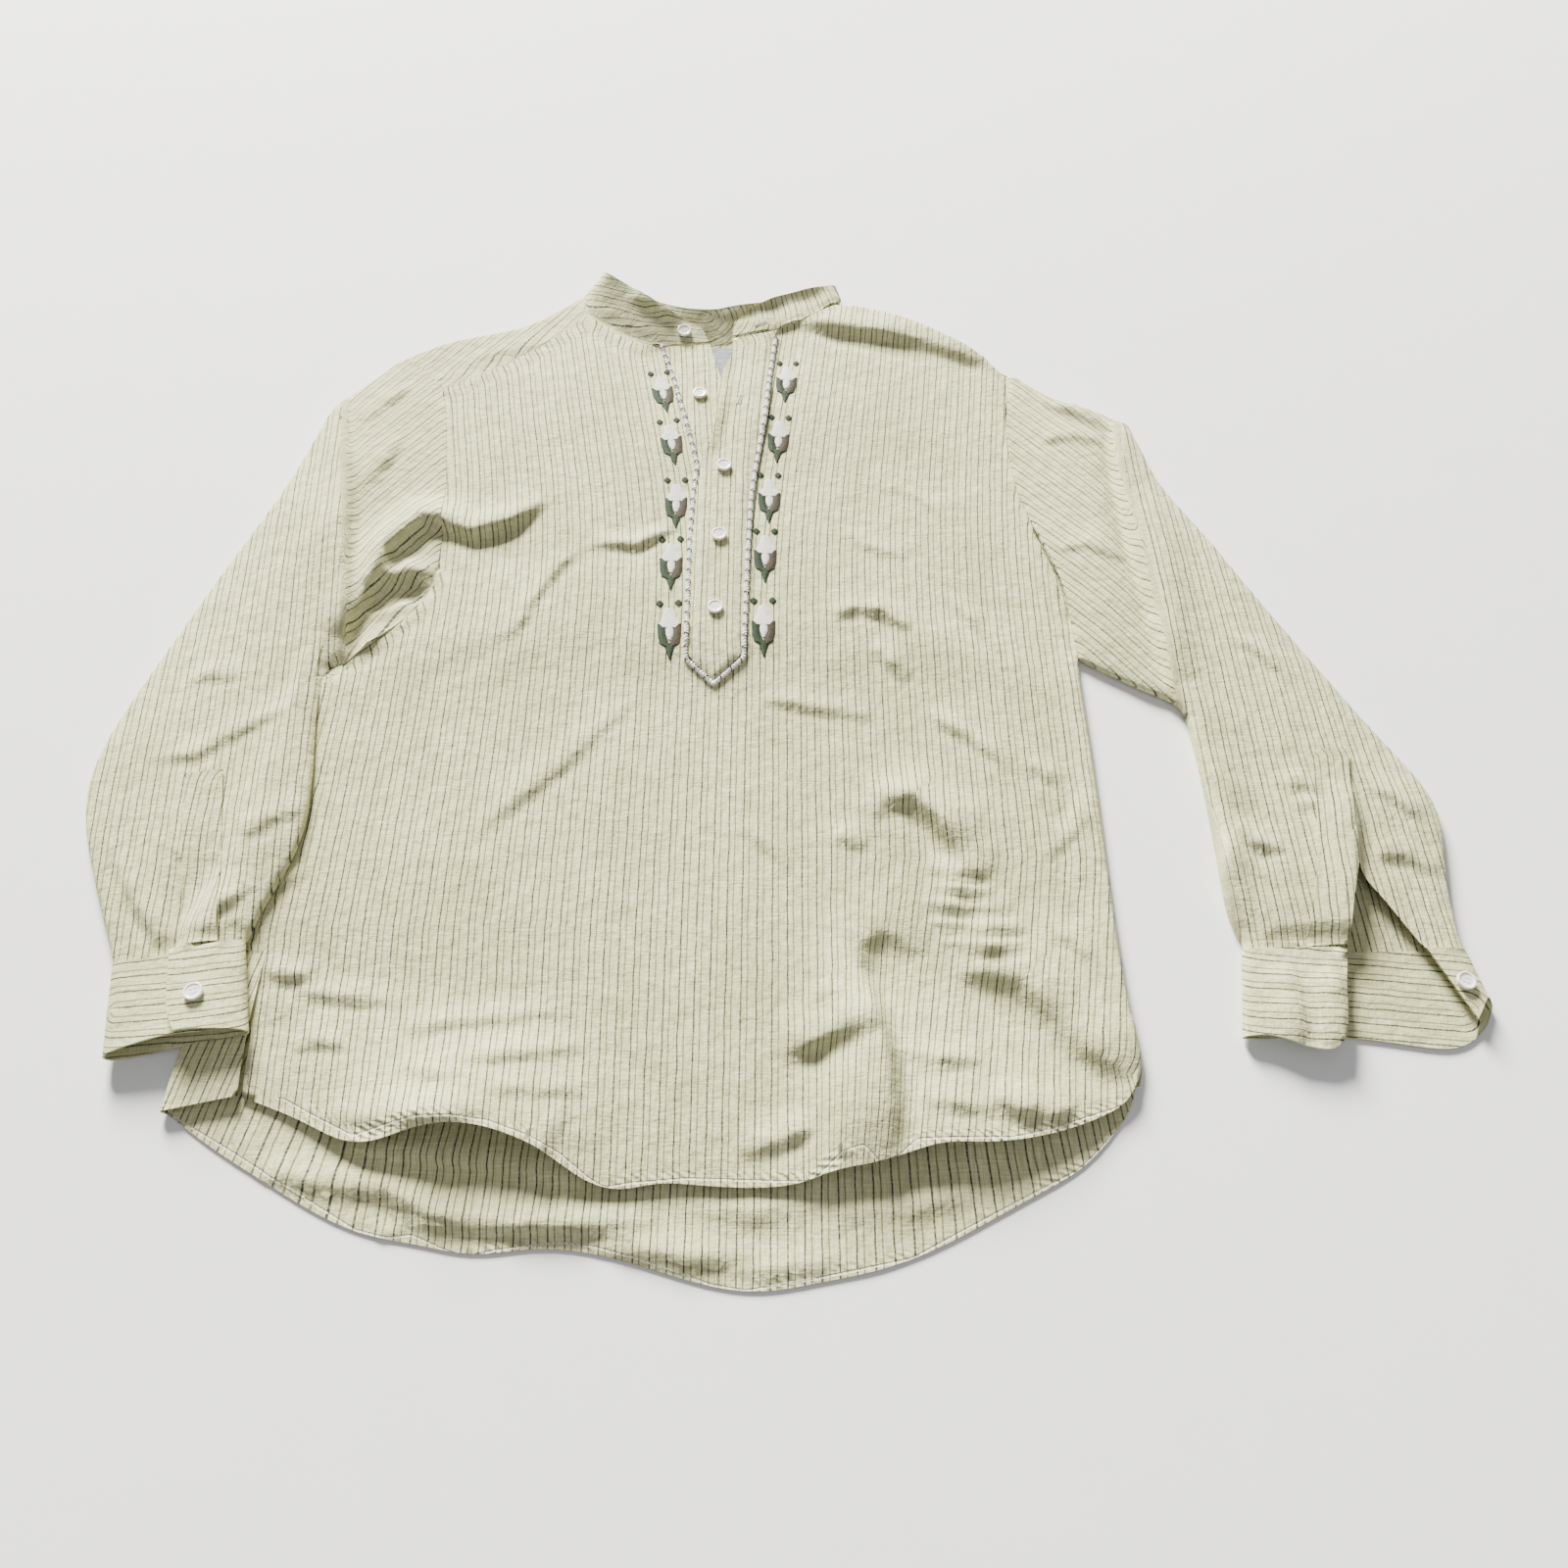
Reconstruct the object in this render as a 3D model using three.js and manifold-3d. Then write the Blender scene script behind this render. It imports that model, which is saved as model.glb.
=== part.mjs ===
// A long-sleeved, band-collar kurta in striped linen, laid flat on a surface with its front up.
// Millimetres. +X is to the right of the laid garment, +Y runs from the hem to the collar, +Z is up.
// "Left" and "right" are as the laid garment is looked at, not as it is worn.
import * as THREE from "three";
import { mergeVertices } from "three/addons/utils/BufferGeometryUtils.js";
import Module from "manifold-3d";

const wasm = await Module();
wasm.setup();

// Cloth
const CLOTH = 1.2; // wall of one layer, with its hems and seam allowances
const DOUBLED = 1.8; // wall of the interfaced collar and cuffs
const LABEL_WALL = 1;
const SEAM_GAP = 0.3; // between two pieces that are sewn edge to edge
// Along the curved armhole and yoke seams, whose facets don't match.
const YOKE_SEAM_GAP = 0.9;
const LEFT_ARMHOLE_GAP = 1.6;
const RIGHT_ARMHOLE_GAP = 0.9;
const LAY_GAP = 0.6; // between a piece and the cloth that it lies on
const FOLD_R = 3.5; // outer radius where a layer turns under at a side or a shoulder
const EDGE_TOP = 2 * FOLD_R; // height of the upper layer beside a fold
const CUFF_FOLD_R = 4.5;

// Body
const BODY_PUFF = 5; // how far the front stands above its edges in mid-panel
const ARMPIT_Y = 8;
const HEM_LEVEL = -300; // height of the side seams' lower ends
const YOKE_DROP = 72; // back yoke seam below the shoulder point

// Buttons: 18 line, four holes
const BUTTON_R = 5.7;
const BUTTON_THICK = 2.4;
const BUTTON_RIM = 0.5;
const BUTTON_HOLE_R = 0.8;
const BUTTON_HOLE_PITCH = 2.6;

// Resolution of the walls
const FRONT_COLS = 26;
const FRONT_ROWS = 26;
const BACK_COLS = 18;
const BACK_ROWS = 18;
const SLEEVE_TOP_STEPS = 5;
// Shares of the under layer's width at which it has points, from its inner fold.
const SLEEVE_UNDER_STEPS = [0, 0.05, 0.13, 0.25, 0.45, 0.72, 1];

// Colours
const LINEN = 0xc8c6b0;
const LINEN_SHADE = 0xbab8a0;
const SHELL_WHITE = 0xeeece2;
const LABEL_GREY = 0x9a9ca6;

// Outlines. Each table is one edge of the laid garment, with a row for each place where it bends.
const FRONT_LEFT_EDGE = [
  { y: 289, x: -262 },
  { y: 227, x: -251 },
  { y: 172, x: -244 },
  { y: 114, x: -240 },
  { y: 73, x: -242 },
  { y: 35, x: -265 },
  { y: ARMPIT_Y, x: -291 },
  { y: -60, x: -295 },
  { y: -143, x: -300 },
  { y: -268, x: -304 },
  { y: HEM_LEVEL, x: -301 },
];
const FRONT_RIGHT_EDGE = [
  { y: 301, x: 208 },
  { y: 251, x: 200 },
  { y: 185, x: 201 },
  { y: 136, x: 212 },
  { y: 83, x: 227 },
  { y: 40, x: 230 },
  { y: 13, x: 231 },
  { y: -91, x: 232 },
  { y: -221, x: 231 },
  { y: -267, x: 234 },
  { y: HEM_LEVEL, x: 237 },
];
const FRONT_TOP_EDGE = [
  { x: -262, y: 289 },
  { x: -213, y: 314 },
  { x: -180, y: 342 },
  { x: -150, y: 380 },
  { x: -137, y: 367 },
  { x: -117, y: 351 },
  { x: -101, y: 341 },
  { x: -84, y: 337 },
  { x: -44, y: 341 },
  { x: -5, y: 350 },
  { x: 13, y: 356 },
  { x: 35, y: 368 },
  { x: 66, y: 394 },
  { x: 89, y: 391 },
  { x: 135, y: 372 },
  { x: 174, y: 343 },
  { x: 195, y: 324 },
  { x: 208, y: 304 },
];
const FRONT_HEM = [
  { x: -301, y: -303, lift: 0 },
  { x: -281, y: -310, lift: 0 },
  { x: -251, y: -322, lift: 1 },
  { x: -228, y: -334, lift: 5 },
  { x: -206, y: -328, lift: 12 },
  { x: -187, y: -322, lift: 15 },
  { x: -167, y: -321, lift: 16 },
  { x: -147, y: -325, lift: 15 },
  { x: -127, y: -332, lift: 12 },
  { x: -106, y: -343, lift: 7 },
  { x: -84, y: -359, lift: 1 },
  { x: -53, y: -352, lift: 0 },
  { x: -19, y: -355, lift: 0 },
  { x: 20, y: -355, lift: 0 },
  { x: 44, y: -350, lift: 4 },
  { x: 60, y: -340, lift: 12 },
  { x: 75, y: -344, lift: 5 },
  { x: 90, y: -338, lift: 8 },
  { x: 105, y: -331, lift: 10 },
  { x: 141, y: -332, lift: 9 },
  { x: 183, y: -324, lift: 6 },
  { x: 214, y: -312, lift: 1 },
  { x: 237, y: -298, lift: 0 },
];
const BACK_LEFT_FOLD = [
  { y: 330, x: -297 },
  { y: 306, x: -275 },
  { y: 289, x: -262 },
  { y: 227, x: -251 },
  { y: 172, x: -244 },
  { y: 114, x: -240 },
  { y: 73, x: -242 },
  { y: 35, x: -265 },
  { y: ARMPIT_Y, x: -297 },
  { y: -104, x: -312 },
  { y: -203, x: -330 },
  { y: -283, x: -346 },
  { y: -312, x: -347 },
];
const BACK_HEM = [
  { x: -347, y: -312 },
  { x: -328, y: -324 },
  { x: -287, y: -346 },
  { x: -243, y: -370 },
  { x: -213, y: -382 },
  { x: -190, y: -383 },
  { x: -165, y: -393 },
  { x: -143, y: -391 },
  { x: -115, y: -386 },
  { x: -86, y: -389 },
  { x: -41, y: -401 },
  { x: -1, y: -412 },
  { x: 42, y: -405 },
  { x: 92, y: -395 },
  { x: 160, y: -362 },
  { x: 213, y: -335 },
  { x: 232, y: -314 },
  { x: 237, y: -299 },
];
const SHOULDER_LEFT = [
  { x: -298, y: 328 },
  { x: -271, y: 345 },
  { x: -223, y: 360 },
  { x: -197, y: 370 },
  { x: -173, y: 390 },
  { x: -157, y: 404 },
];
const BACK_NECKLINE = [
  { x: -157, y: 404 },
  { x: -147, y: 379 },
  { x: -116, y: 359 },
  { x: -81, y: 347 },
  { x: -51, y: 344 },
  { x: -22, y: 347 },
  { x: 20, y: 366 },
  { x: 50, y: 383 },
  { x: 66, y: 395 },
];
const SHOULDER_RIGHT = [
  { x: 66, y: 395 },
  { x: 89, y: 392 },
  { x: 135, y: 373 },
  { x: 174, y: 344 },
  { x: 195, y: 325 },
  { x: 208, y: 305 },
];
const YOKE_FRONT_SEAM = [
  { x: -262, y: 289 },
  { x: -213, y: 314 },
  { x: -180, y: 342 },
  { x: -150, y: 380 },
];

// Largest folds of the front: centre, direction in degrees from +X, length, width and height.
// A trough has a height below 0.
const FRONT_FOLDS = [
  { x: -205, y: 124, turn: -6, length: 80, width: 15, height: -4.5 },
  { x: -118, y: 118, turn: 0, length: 50, width: 12, height: -2 },
  { x: -158, y: 96, turn: 75, length: 50, width: 12, height: -2 },
  { x: 102, y: 18, turn: -40, length: 45, width: 14, height: -3 },
  { x: 166, y: 40, turn: 55, length: 40, width: 14, height: -3 },
  { x: 116, y: -120, turn: -40, length: 80, width: 14, height: 4 },
  { x: 89, y: -214, turn: 15, length: 40, width: 22, height: -4.5 },
  { x: 180, y: -256, turn: -32, length: 90, width: 16, height: -4 },
  { x: 70, y: -285, turn: 80, length: 90, width: 15, height: 7 },
  { x: 42, y: -262, turn: 12, length: 60, width: 12, height: -3 },
  { x: -160, y: -262, turn: 4, length: 130, width: 14, height: -2.5 },
  { x: -230, y: -235, turn: 3, length: 90, width: 12, height: -2 },
  { x: 120, y: 372, turn: -22, length: 90, width: 15, height: -3 },
];
const SLEEVE_FOLDS = [
  { x: -262, y: 54, turn: 35, length: 80, width: 15, height: -6 },
  { x: -322, y: 160, turn: 80, length: 160, width: 10, height: 4 },
  { x: -352, y: -170, turn: 70, length: 60, width: 14, height: -3 },
  { x: 291, y: 105, turn: 88, length: 250, width: 13, height: -6 },
  { x: 310, y: 110, turn: 82, length: 240, width: 12, height: 4 },
  { x: 330, y: -110, turn: 75, length: 90, width: 14, height: -4 },
  { x: 420, y: -150, turn: 10, length: 50, width: 14, height: -3 },
];

// Placket strips, measured on the laid front from the neck seam down.
const PLACKET_LEFT_EDGE = [
  { x: -84, y: 336 },
  { x: -74, y: 306 },
  { x: -64, y: 262 },
  { x: -57, y: 233 },
  { x: -49, y: 198 },
  { x: -50, y: 143 },
  { x: -51, y: 73 },
  { x: -51, y: 13 },
];
const PLACKET_RIGHT_EDGE = [
  { x: 14, y: 355 },
  { x: 10, y: 321 },
  { x: 8, y: 291 },
  { x: 6, y: 253 },
  { x: 2, y: 225 },
  { x: -4, y: 193 },
  { x: -6, y: 144 },
  { x: -8, y: 76 },
  { x: -9, y: 13 },
];
const UNDERLAP_FREE_EDGE = [
  { x: -43, y: 340 },
  { x: -39, y: 324 },
  { x: -32, y: 296 },
  { x: -20, y: 240 },
  { x: -12, y: 193 },
  { x: -13, y: 73 },
  { x: -14, y: 14 },
];
const OVERLAP_FREE_EDGE = [
  { x: -24, y: 345 },
  { x: -23, y: 327 },
  { x: -31, y: 306 },
  { x: -35, y: 279 },
  { x: -35, y: 250 },
  { x: -38, y: 222 },
  { x: -46, y: 200 },
  { x: -49.5, y: 143 },
  { x: -50.5, y: 73 },
  { x: -50.5, y: 13 },
];
const PLACKET_TIP = { x: -31, y: -10 };
const PLACKET_SEAM = 3.5; // width by which a strip is sewn over the front beside the slit
const SLIT_FOOT_Y = 24; // lower end of the slit in the front

// Sleeves: a row for each section, from the armhole to the cuff. outer and inner are the two folds of the
// flattened tube, bow is how far the section bulges towards the body, and puff how far its upper layer stands up.
// hook is how far it swings out before it meets the inner fold, so that it doesn't run along that fold.
const LEFT_SLEEVE = [
  { outerX: -298, outerY: 327, innerX: -291.5, innerY: 8, bow: 1, puff: 1, hook: 0 },
  { outerX: -311, outerY: 317, innerX: -300, innerY: 8, bow: 0.82, puff: 3, hook: 0 },
  { outerX: -327, outerY: 293, innerX: -304, innerY: 6, bow: 0.6, puff: 5, hook: 0.5 },
  { outerX: -345, outerY: 277, innerX: -306, innerY: 2, bow: 0.38, puff: 6, hook: 1 },
  { outerX: -356, outerY: 250, innerX: -307, innerY: -5, bow: 0.2, puff: 7, hook: 1 },
  { outerX: -363, outerY: 212, innerX: -307, innerY: -14, bow: 0.08, puff: 7, hook: 1 },
  { outerX: -372, outerY: 180, innerX: -306, innerY: -26, bow: 0, puff: 7, hook: 1 },
  { outerX: -386, outerY: 140, innerX: -304, innerY: -40, bow: 0, puff: 7, hook: 1 },
  { outerX: -403, outerY: 97, innerX: -302, innerY: -56, bow: 0, puff: 7, hook: 0.8 },
  { outerX: -418, outerY: 47, innerX: -299, innerY: -74, bow: 0, puff: 7, hook: 0.5 },
  { outerX: -434, outerY: -1, innerX: -296, innerY: -95, bow: 0, puff: 7, hook: 0.2 },
  { outerX: -447, outerY: -45, innerX: -294, innerY: -116, bow: 0, puff: 7, hook: 0 },
  { outerX: -453, outerY: -82, innerX: -295, innerY: -137, bow: 0, puff: 7, hook: 0 },
  { outerX: -448, outerY: -116, innerX: -299, innerY: -155, bow: 0, puff: 7, hook: 0 },
  { outerX: -434, outerY: -149, innerX: -305, innerY: -172, bow: 0, puff: 6, hook: 0 },
  { outerX: -417, outerY: -184, innerX: -311, innerY: -190, bow: 0, puff: 5, hook: 0 },
  { outerX: -398, outerY: -222, innerX: -315, innerY: -207, bow: 0, puff: 4, hook: 0 },
];
const RIGHT_SLEEVE = [
  { outerX: 210, outerY: 307, innerX: 231.5, innerY: 14, bow: 1, puff: 1 },
  { outerX: 228, outerY: 288, innerX: 245, innerY: 4, bow: 0.8, puff: 3 },
  { outerX: 247, outerY: 274, innerX: 258, innerY: -3, bow: 0.6, puff: 5 },
  { outerX: 274, outerY: 264, innerX: 270, innerY: -11, bow: 0.4, puff: 6 },
  { outerX: 299, outerY: 250, innerX: 284, innerY: -18, bow: 0.2, puff: 6 },
  { outerX: 306, outerY: 219, innerX: 293, innerY: -23, bow: 0.1, puff: 6 },
  { outerX: 314, outerY: 185, innerX: 300, innerY: -30, bow: 0.05, puff: 6 },
  { outerX: 335, outerY: 146, innerX: 302, innerY: -41, bow: 0, puff: 6 },
  { outerX: 354, outerY: 107, innerX: 302, innerY: -55, bow: 0, puff: 7 },
  { outerX: 383, outerY: 46, innerX: 303, innerY: -79, bow: 0, puff: 7 },
  { outerX: 411, outerY: -10, innerX: 303, innerY: -109, bow: 0, puff: 7 },
  { outerX: 437, outerY: -59, innerX: 303, innerY: -140, bow: 0, puff: 7 },
  { outerX: 459, outerY: -98, innerX: 302, innerY: -168, bow: 0, puff: 7 },
  { outerX: 457, outerY: -128, innerX: 302, innerY: -186, bow: 0, puff: 6 },
  { outerX: 450, outerY: -160, innerX: 305, innerY: -198, bow: 0, puff: 5 },
  { outerX: 447, outerY: -190, innerX: 308, innerY: -204, bow: 0, puff: 4 },
  { outerX: 448, outerY: -210, innerX: 308, innerY: -210, bow: 0, puff: 3 },
];
// Where the sleeve is slit above the cuff, as shares of a section's width from its outer fold.
const LEFT_SLIT = [{ from: 0.45, to: 0.45 }];
const RIGHT_SLIT = [
  { from: 0.44, to: 0.44 },
  { from: 0.48, to: 0.35 },
  { from: 0.51, to: 0.26 },
  { from: 0.54, to: 0.2 },
];

// Collar band: a row for each section, from the left front end round the back to the right front end.
const COLLAR = [
  { seamX: -44, seamY: 342.5, seamZ: 10, topX: -50, topY: 357, topZ: 12.5 },
  { seamX: -63, seamY: 339.5, seamZ: 10, topX: -64, topY: 363, topZ: 14 },
  { seamX: -84, seamY: 338.5, seamZ: 9.5, topX: -77, topY: 367, topZ: 19 },
  { seamX: -101, seamY: 342.5, seamZ: 9, topX: -93, topY: 378, topZ: 23 },
  { seamX: -117, seamY: 352.5, seamZ: 9, topX: -106, topY: 388, topZ: 25 },
  { seamX: -136, seamY: 368.5, seamZ: 9, topX: -121, topY: 400, topZ: 26 },
  { seamX: -148.5, seamY: 382, seamZ: 9, topX: -130, topY: 406, topZ: 27 },
  { seamX: -154.5, seamY: 398, seamZ: 8.5, topX: -135, topY: 411, topZ: 26 },
  { seamX: -155, seamY: 406, seamZ: 6, topX: -137, topY: 414, topZ: 22 },
  { seamX: -152, seamY: 404, seamZ: 3, topX: -132, topY: 411.5, topZ: 18.5 },
  { seamX: -143, seamY: 382, seamZ: 0.5, topX: -123, topY: 403, topZ: 16 },
  { seamX: -114, seamY: 361, seamZ: 0.2, topX: -103, topY: 390, topZ: 14 },
  { seamX: -81, seamY: 348, seamZ: 0.2, topX: -76, topY: 379, topZ: 14 },
  { seamX: -51, seamY: 345, seamZ: 0.2, topX: -49, topY: 376, topZ: 14 },
  { seamX: -22, seamY: 348, seamZ: 0.2, topX: -25, topY: 382, topZ: 10.5 },
  { seamX: 18, seamY: 366.5, seamZ: 0.2, topX: 6, topY: 391, topZ: 5.5 },
  { seamX: 48, seamY: 383, seamZ: 0.2, topX: 34, topY: 409, topZ: 3 },
  { seamX: 61, seamY: 394, seamZ: 0.3, topX: 54, topY: 417, topZ: 2.5 },
  { seamX: 68, seamY: 398.5, seamZ: 1.7, topX: 62, topY: 419, topZ: 3.5 },
  { seamX: 70.5, seamY: 399.5, seamZ: 5.4, topX: 66, topY: 418, topZ: 6.5 },
  { seamX: 67.5, seamY: 398, seamZ: 9, topX: 62, topY: 416, topZ: 9.5 },
  { seamX: 52, seamY: 382.5, seamZ: 10, topX: 46, topY: 408, topZ: 11 },
  { seamX: 35, seamY: 370.5, seamZ: 10.5, topX: 20, topY: 398, topZ: 12 },
  { seamX: 13, seamY: 358.5, seamZ: 11, topX: -1, topY: 386, topZ: 13 },
  { seamX: -5, seamY: 352.5, seamZ: 11.5, topX: -16, topY: 374, topZ: 14 },
  { seamX: -24, seamY: 347, seamZ: 12, topX: -23, topY: 363, topZ: 13.5 },
];

// Lower edge of the buttoned cuff, and how far its upper layer gapes in the middle.
const LEFT_CUFF_LOWER = { outerX: -388, outerY: -281, innerX: -300, innerY: -266, rise: 5 };
const FLAP_TURN = 6; // corner radius of a cuff's lapped end
const ROUNDED_SHARE = 0.3; // share of the cuff's depth that the rounding takes
const CUFF_ROLL_DEGREES = [50, 0, -50];

const lerp = THREE.MathUtils.lerp;
const clamp = THREE.MathUtils.clamp;
const smooth = (t) => THREE.MathUtils.smoothstep(t, 0, 1);
const point = (x, y, z) => new THREE.Vector3(x, y, z);

// A smooth function through the rows of a table, from one column to another; level beyond its ends.
function through(rows, from, to) {
  const sorted = [...rows].sort((a, b) => a[from] - b[from]);
  const slope = (i, j) => (sorted[j][to] - sorted[i][to]) / (sorted[j][from] - sorted[i][from]);
  const last = sorted.length - 1;
  const tangents = sorted.map((_, i) => slope(Math.max(i - 1, 0), Math.min(i + 1, last)));
  return (at) => {
    const t = clamp(at, sorted[0][from], sorted[last][from]);
    let i = 0;
    while (i < last - 1 && t > sorted[i + 1][from]) i++;
    const span = sorted[i + 1][from] - sorted[i][from];
    const s = (t - sorted[i][from]) / span;
    const fromStart = (1 + 2 * s) * (1 - s) ** 2 * sorted[i][to] + s * (1 - s) ** 2 * span * tangents[i];
    const fromEnd = s * s * (3 - 2 * s) * sorted[i + 1][to] + s * s * (s - 1) * span * tangents[i + 1];
    return fromStart + fromEnd;
  };
}

// Height that a table of folds adds at a place.
function foldHeight(folds, x, y) {
  return folds.reduce((sum, f) => {
    const turn = THREE.MathUtils.degToRad(f.turn);
    const along = (x - f.x) * Math.cos(turn) + (y - f.y) * Math.sin(turn);
    const across = (y - f.y) * Math.cos(turn) - (x - f.x) * Math.sin(turn);
    return sum + f.height * Math.exp(-((across / f.width) ** 2) - (along / (f.length / 2)) ** 4);
  }, 0);
}

// How far the cloth has dropped at a distance in from a fold of radius r.
const foldDrop = (inset, r = FOLD_R) => (inset >= r ? 0 : r - Math.sqrt(r * r - (r - inset) ** 2));
// Shares of the radius at which a rolled edge has its points, from the fold inwards.
const ROLL_INSETS = [0, 0.3, 1];

function material(color, roughness = 0.9) {
  return new THREE.MeshStandardMaterial({ color, roughness, metalness: 0 });
}

// A wall of cloth from a grid of points on its outer face. Rows run down the piece and columns across it, so
// that with side 1 the outer face looks up. Points that coincide are joined, and open edges get a closing face.
// skip leaves out a quad of the grid. level says how far the closing face is turned level at a point, where
// the edge meets the other half of a fold.
function clothWall(name, grid, options = {}) {
  const { wall = CLOTH, side = 1, color = LINEN, skip = () => false, level = () => 0 } = options;
  const points = [];
  const levels = [];
  const seen = new Map();
  const ids = grid.map((row, i) =>
    row.map((p, j) => {
      const key = [p.x, p.y, p.z].map((c) => c.toFixed(2)).join();
      if (!seen.has(key)) {
        seen.set(key, points.length);
        points.push(p.clone());
        levels.push(level(i, j, p));
      }
      return seen.get(key);
    }),
  );
  const faces = [];
  const addFace = (a, b, c) => {
    if (a !== b && b !== c && c !== a) faces.push(side > 0 ? [a, b, c] : [a, c, b]);
  };
  for (let i = 0; i + 1 < grid.length; i++) {
    for (let j = 0; j + 1 < grid[i].length; j++) {
      if (skip(i, j)) continue;
      const [a, b, c, d] = [ids[i][j], ids[i][j + 1], ids[i + 1][j + 1], ids[i + 1][j]];
      addFace(a, d, b);
      addFace(b, d, c);
    }
  }
  const normals = points.map(() => point(0, 0, 0));
  for (const [a, b, c] of faces) {
    const n = points[b].clone().sub(points[a]).cross(points[c].clone().sub(points[a]));
    [a, b, c].forEach((v) => normals[v].add(n));
  }
  const inner = points.map((p, i) => {
    const q = p.clone().addScaledVector(normals[i].normalize(), -wall);
    q.z = Math.max(lerp(q.z, p.z, levels[i]), 0);
    return q;
  });
  const count = points.length;
  const triangles = faces.flatMap(([a, b, c]) => [
    [a, b, c],
    [c + count, b + count, a + count],
  ]);
  const edges = new Set(faces.flatMap(([a, b, c]) => [`${a},${b}`, `${b},${c}`, `${c},${a}`]));
  for (const edge of edges) {
    const [p, q] = edge.split(",").map(Number);
    if (edges.has(`${q},${p}`)) continue;
    triangles.push([q, p, p + count], [q, p + count, q + count]);
  }
  const geometry = new THREE.BufferGeometry();
  const coordinates = [...points, ...inner].flatMap((p) => [...p]);
  geometry.setAttribute("position", new THREE.Float32BufferAttribute(coordinates, 3));
  geometry.setIndex(triangles.flat());
  const mesh = new THREE.Mesh(geometry, material(color));
  mesh.name = name;
  return mesh;
}

// Height of the highest face of some meshes over a place, or nothing where there is none.
function topAt(meshes, x, y) {
  let best = -Infinity;
  for (const mesh of meshes) {
    const position = mesh.geometry.attributes.position.array;
    const index = mesh.geometry.index.array;
    for (let i = 0; i < index.length; i += 3) {
      const [a, b, c] = [index[i] * 3, index[i + 1] * 3, index[i + 2] * 3];
      const [ax, ay, bx, by] = [position[a] - x, position[a + 1] - y, position[b] - x, position[b + 1] - y];
      const [cx, cy] = [position[c] - x, position[c + 1] - y];
      const [u, v, w] = [bx * cy - by * cx, cx * ay - cy * ax, ax * by - ay * bx];
      const inside = (u >= 0 && v >= 0 && w >= 0) || (u <= 0 && v <= 0 && w <= 0);
      const area = u + v + w;
      if (!inside || Math.abs(area) < 1e-9) continue;
      best = Math.max(best, (u * position[a + 2] + v * position[b + 2] + w * position[c + 2]) / area);
    }
  }
  return best;
}

// Height on which a layer rests: the highest cloth within the reach over which it drapes, or the surface.
const DRAPE_REACHES = [8, 16, 22];
const DIRECTIONS = 8;
function groundUnder(meshes, x, y) {
  const around = DRAPE_REACHES.flatMap((reach) =>
    Array.from({ length: DIRECTIONS }, (_, k) => {
      const a = (k * 2 * Math.PI) / DIRECTIONS;
      return topAt(meshes, x + reach * Math.cos(a), y + reach * Math.sin(a));
    }),
  );
  const best = Math.max(topAt(meshes, x, y), ...around);
  return best > 0 ? best + LAY_GAP : 0;
}

const evenly = (n) => Array.from({ length: n + 1 }, (_, i) => i / n);

// Front panel
const frontLeftX = through(FRONT_LEFT_EDGE, "y", "x");
const frontRightX = through(FRONT_RIGHT_EDGE, "y", "x");
const frontTopY = through(FRONT_TOP_EDGE, "x", "y");
const frontHemY = through(FRONT_HEM, "x", "y");
const frontHemLift = through(FRONT_HEM, "x", "lift");

// The top edge rolls over the shoulder right of the neck, and the right side rolls under below the armpit.
const SHOULDER_ROLL = { x: 40, over: 40 };
const SIDE_ROLL = { aboveArmpit: 12, over: 14 };
const topRoll = (x) => smooth((x - SHOULDER_ROLL.x) / SHOULDER_ROLL.over);
const sideRoll = (y) => smooth((ARMPIT_Y + SIDE_ROLL.aboveArmpit - y) / SIDE_ROLL.over);
// Shares of the length and width over which the puff, the hem's lift and the folds fade to the edges.
const PUFF_FADE_TOP = 1 / 6;
const PUFF_LEFT_AT_HEM = 0.4;
const HEM_LIFT_SPAN = 0.14;
const FOLD_FADE = { left: 1 / 12, right: 1 / 9, top: 1 / 10, atTop: 0.2 };

// A point of the front, u across it and v down it. Beside a rolled edge, insets are its distances from the fold.
function frontPoint(u, v, insetTop, insetRight) {
  const topX = lerp(FRONT_TOP_EDGE[0].x, FRONT_TOP_EDGE.at(-1).x, u);
  const hemX = lerp(FRONT_HEM[0].x, FRONT_HEM.at(-1).x, u);
  const y = lerp(frontTopY(topX), frontHemY(hemX), v) - insetTop * (1 - v);
  const x = lerp(frontLeftX(y) + SEAM_GAP, frontRightX(y), u) - insetRight;
  const towardsHem = lerp(1, PUFF_LEFT_AT_HEM, v ** 4);
  const puff = BODY_PUFF * (1 - Math.abs(2 * u - 1) ** 3) * smooth(v / PUFF_FADE_TOP) * towardsHem;
  const hem = frontHemLift(hemX) * smooth(1 - (1 - v) / HEM_LIFT_SPAN);
  const fromSides = smooth(u / FOLD_FADE.left) * smooth((1 - u) / FOLD_FADE.right);
  const folds = foldHeight(FRONT_FOLDS, x, y) * fromSides * smooth(v / FOLD_FADE.top + FOLD_FADE.atTop);
  const rolled = topRoll(topX) * foldDrop(insetTop) * (v < 0.5 ? 1 : 0) + sideRoll(y) * foldDrop(insetRight);
  const z = EDGE_TOP + puff + hem + folds - Math.min(rolled, FOLD_R - SEAM_GAP / 2);
  return point(x, y, Math.max(z, FOLD_R + SEAM_GAP / 2));
}

// Steps across a piece, with the points of its rolled edge last.
function stepsWithRoll(n) {
  const flat = evenly(n).slice(0, -1);
  const rolled = ROLL_INSETS.toReversed();
  return [...flat.map((at) => ({ at, inset: 0 })), ...rolled.map((share) => ({ at: 1, inset: share * FOLD_R }))];
}

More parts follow.
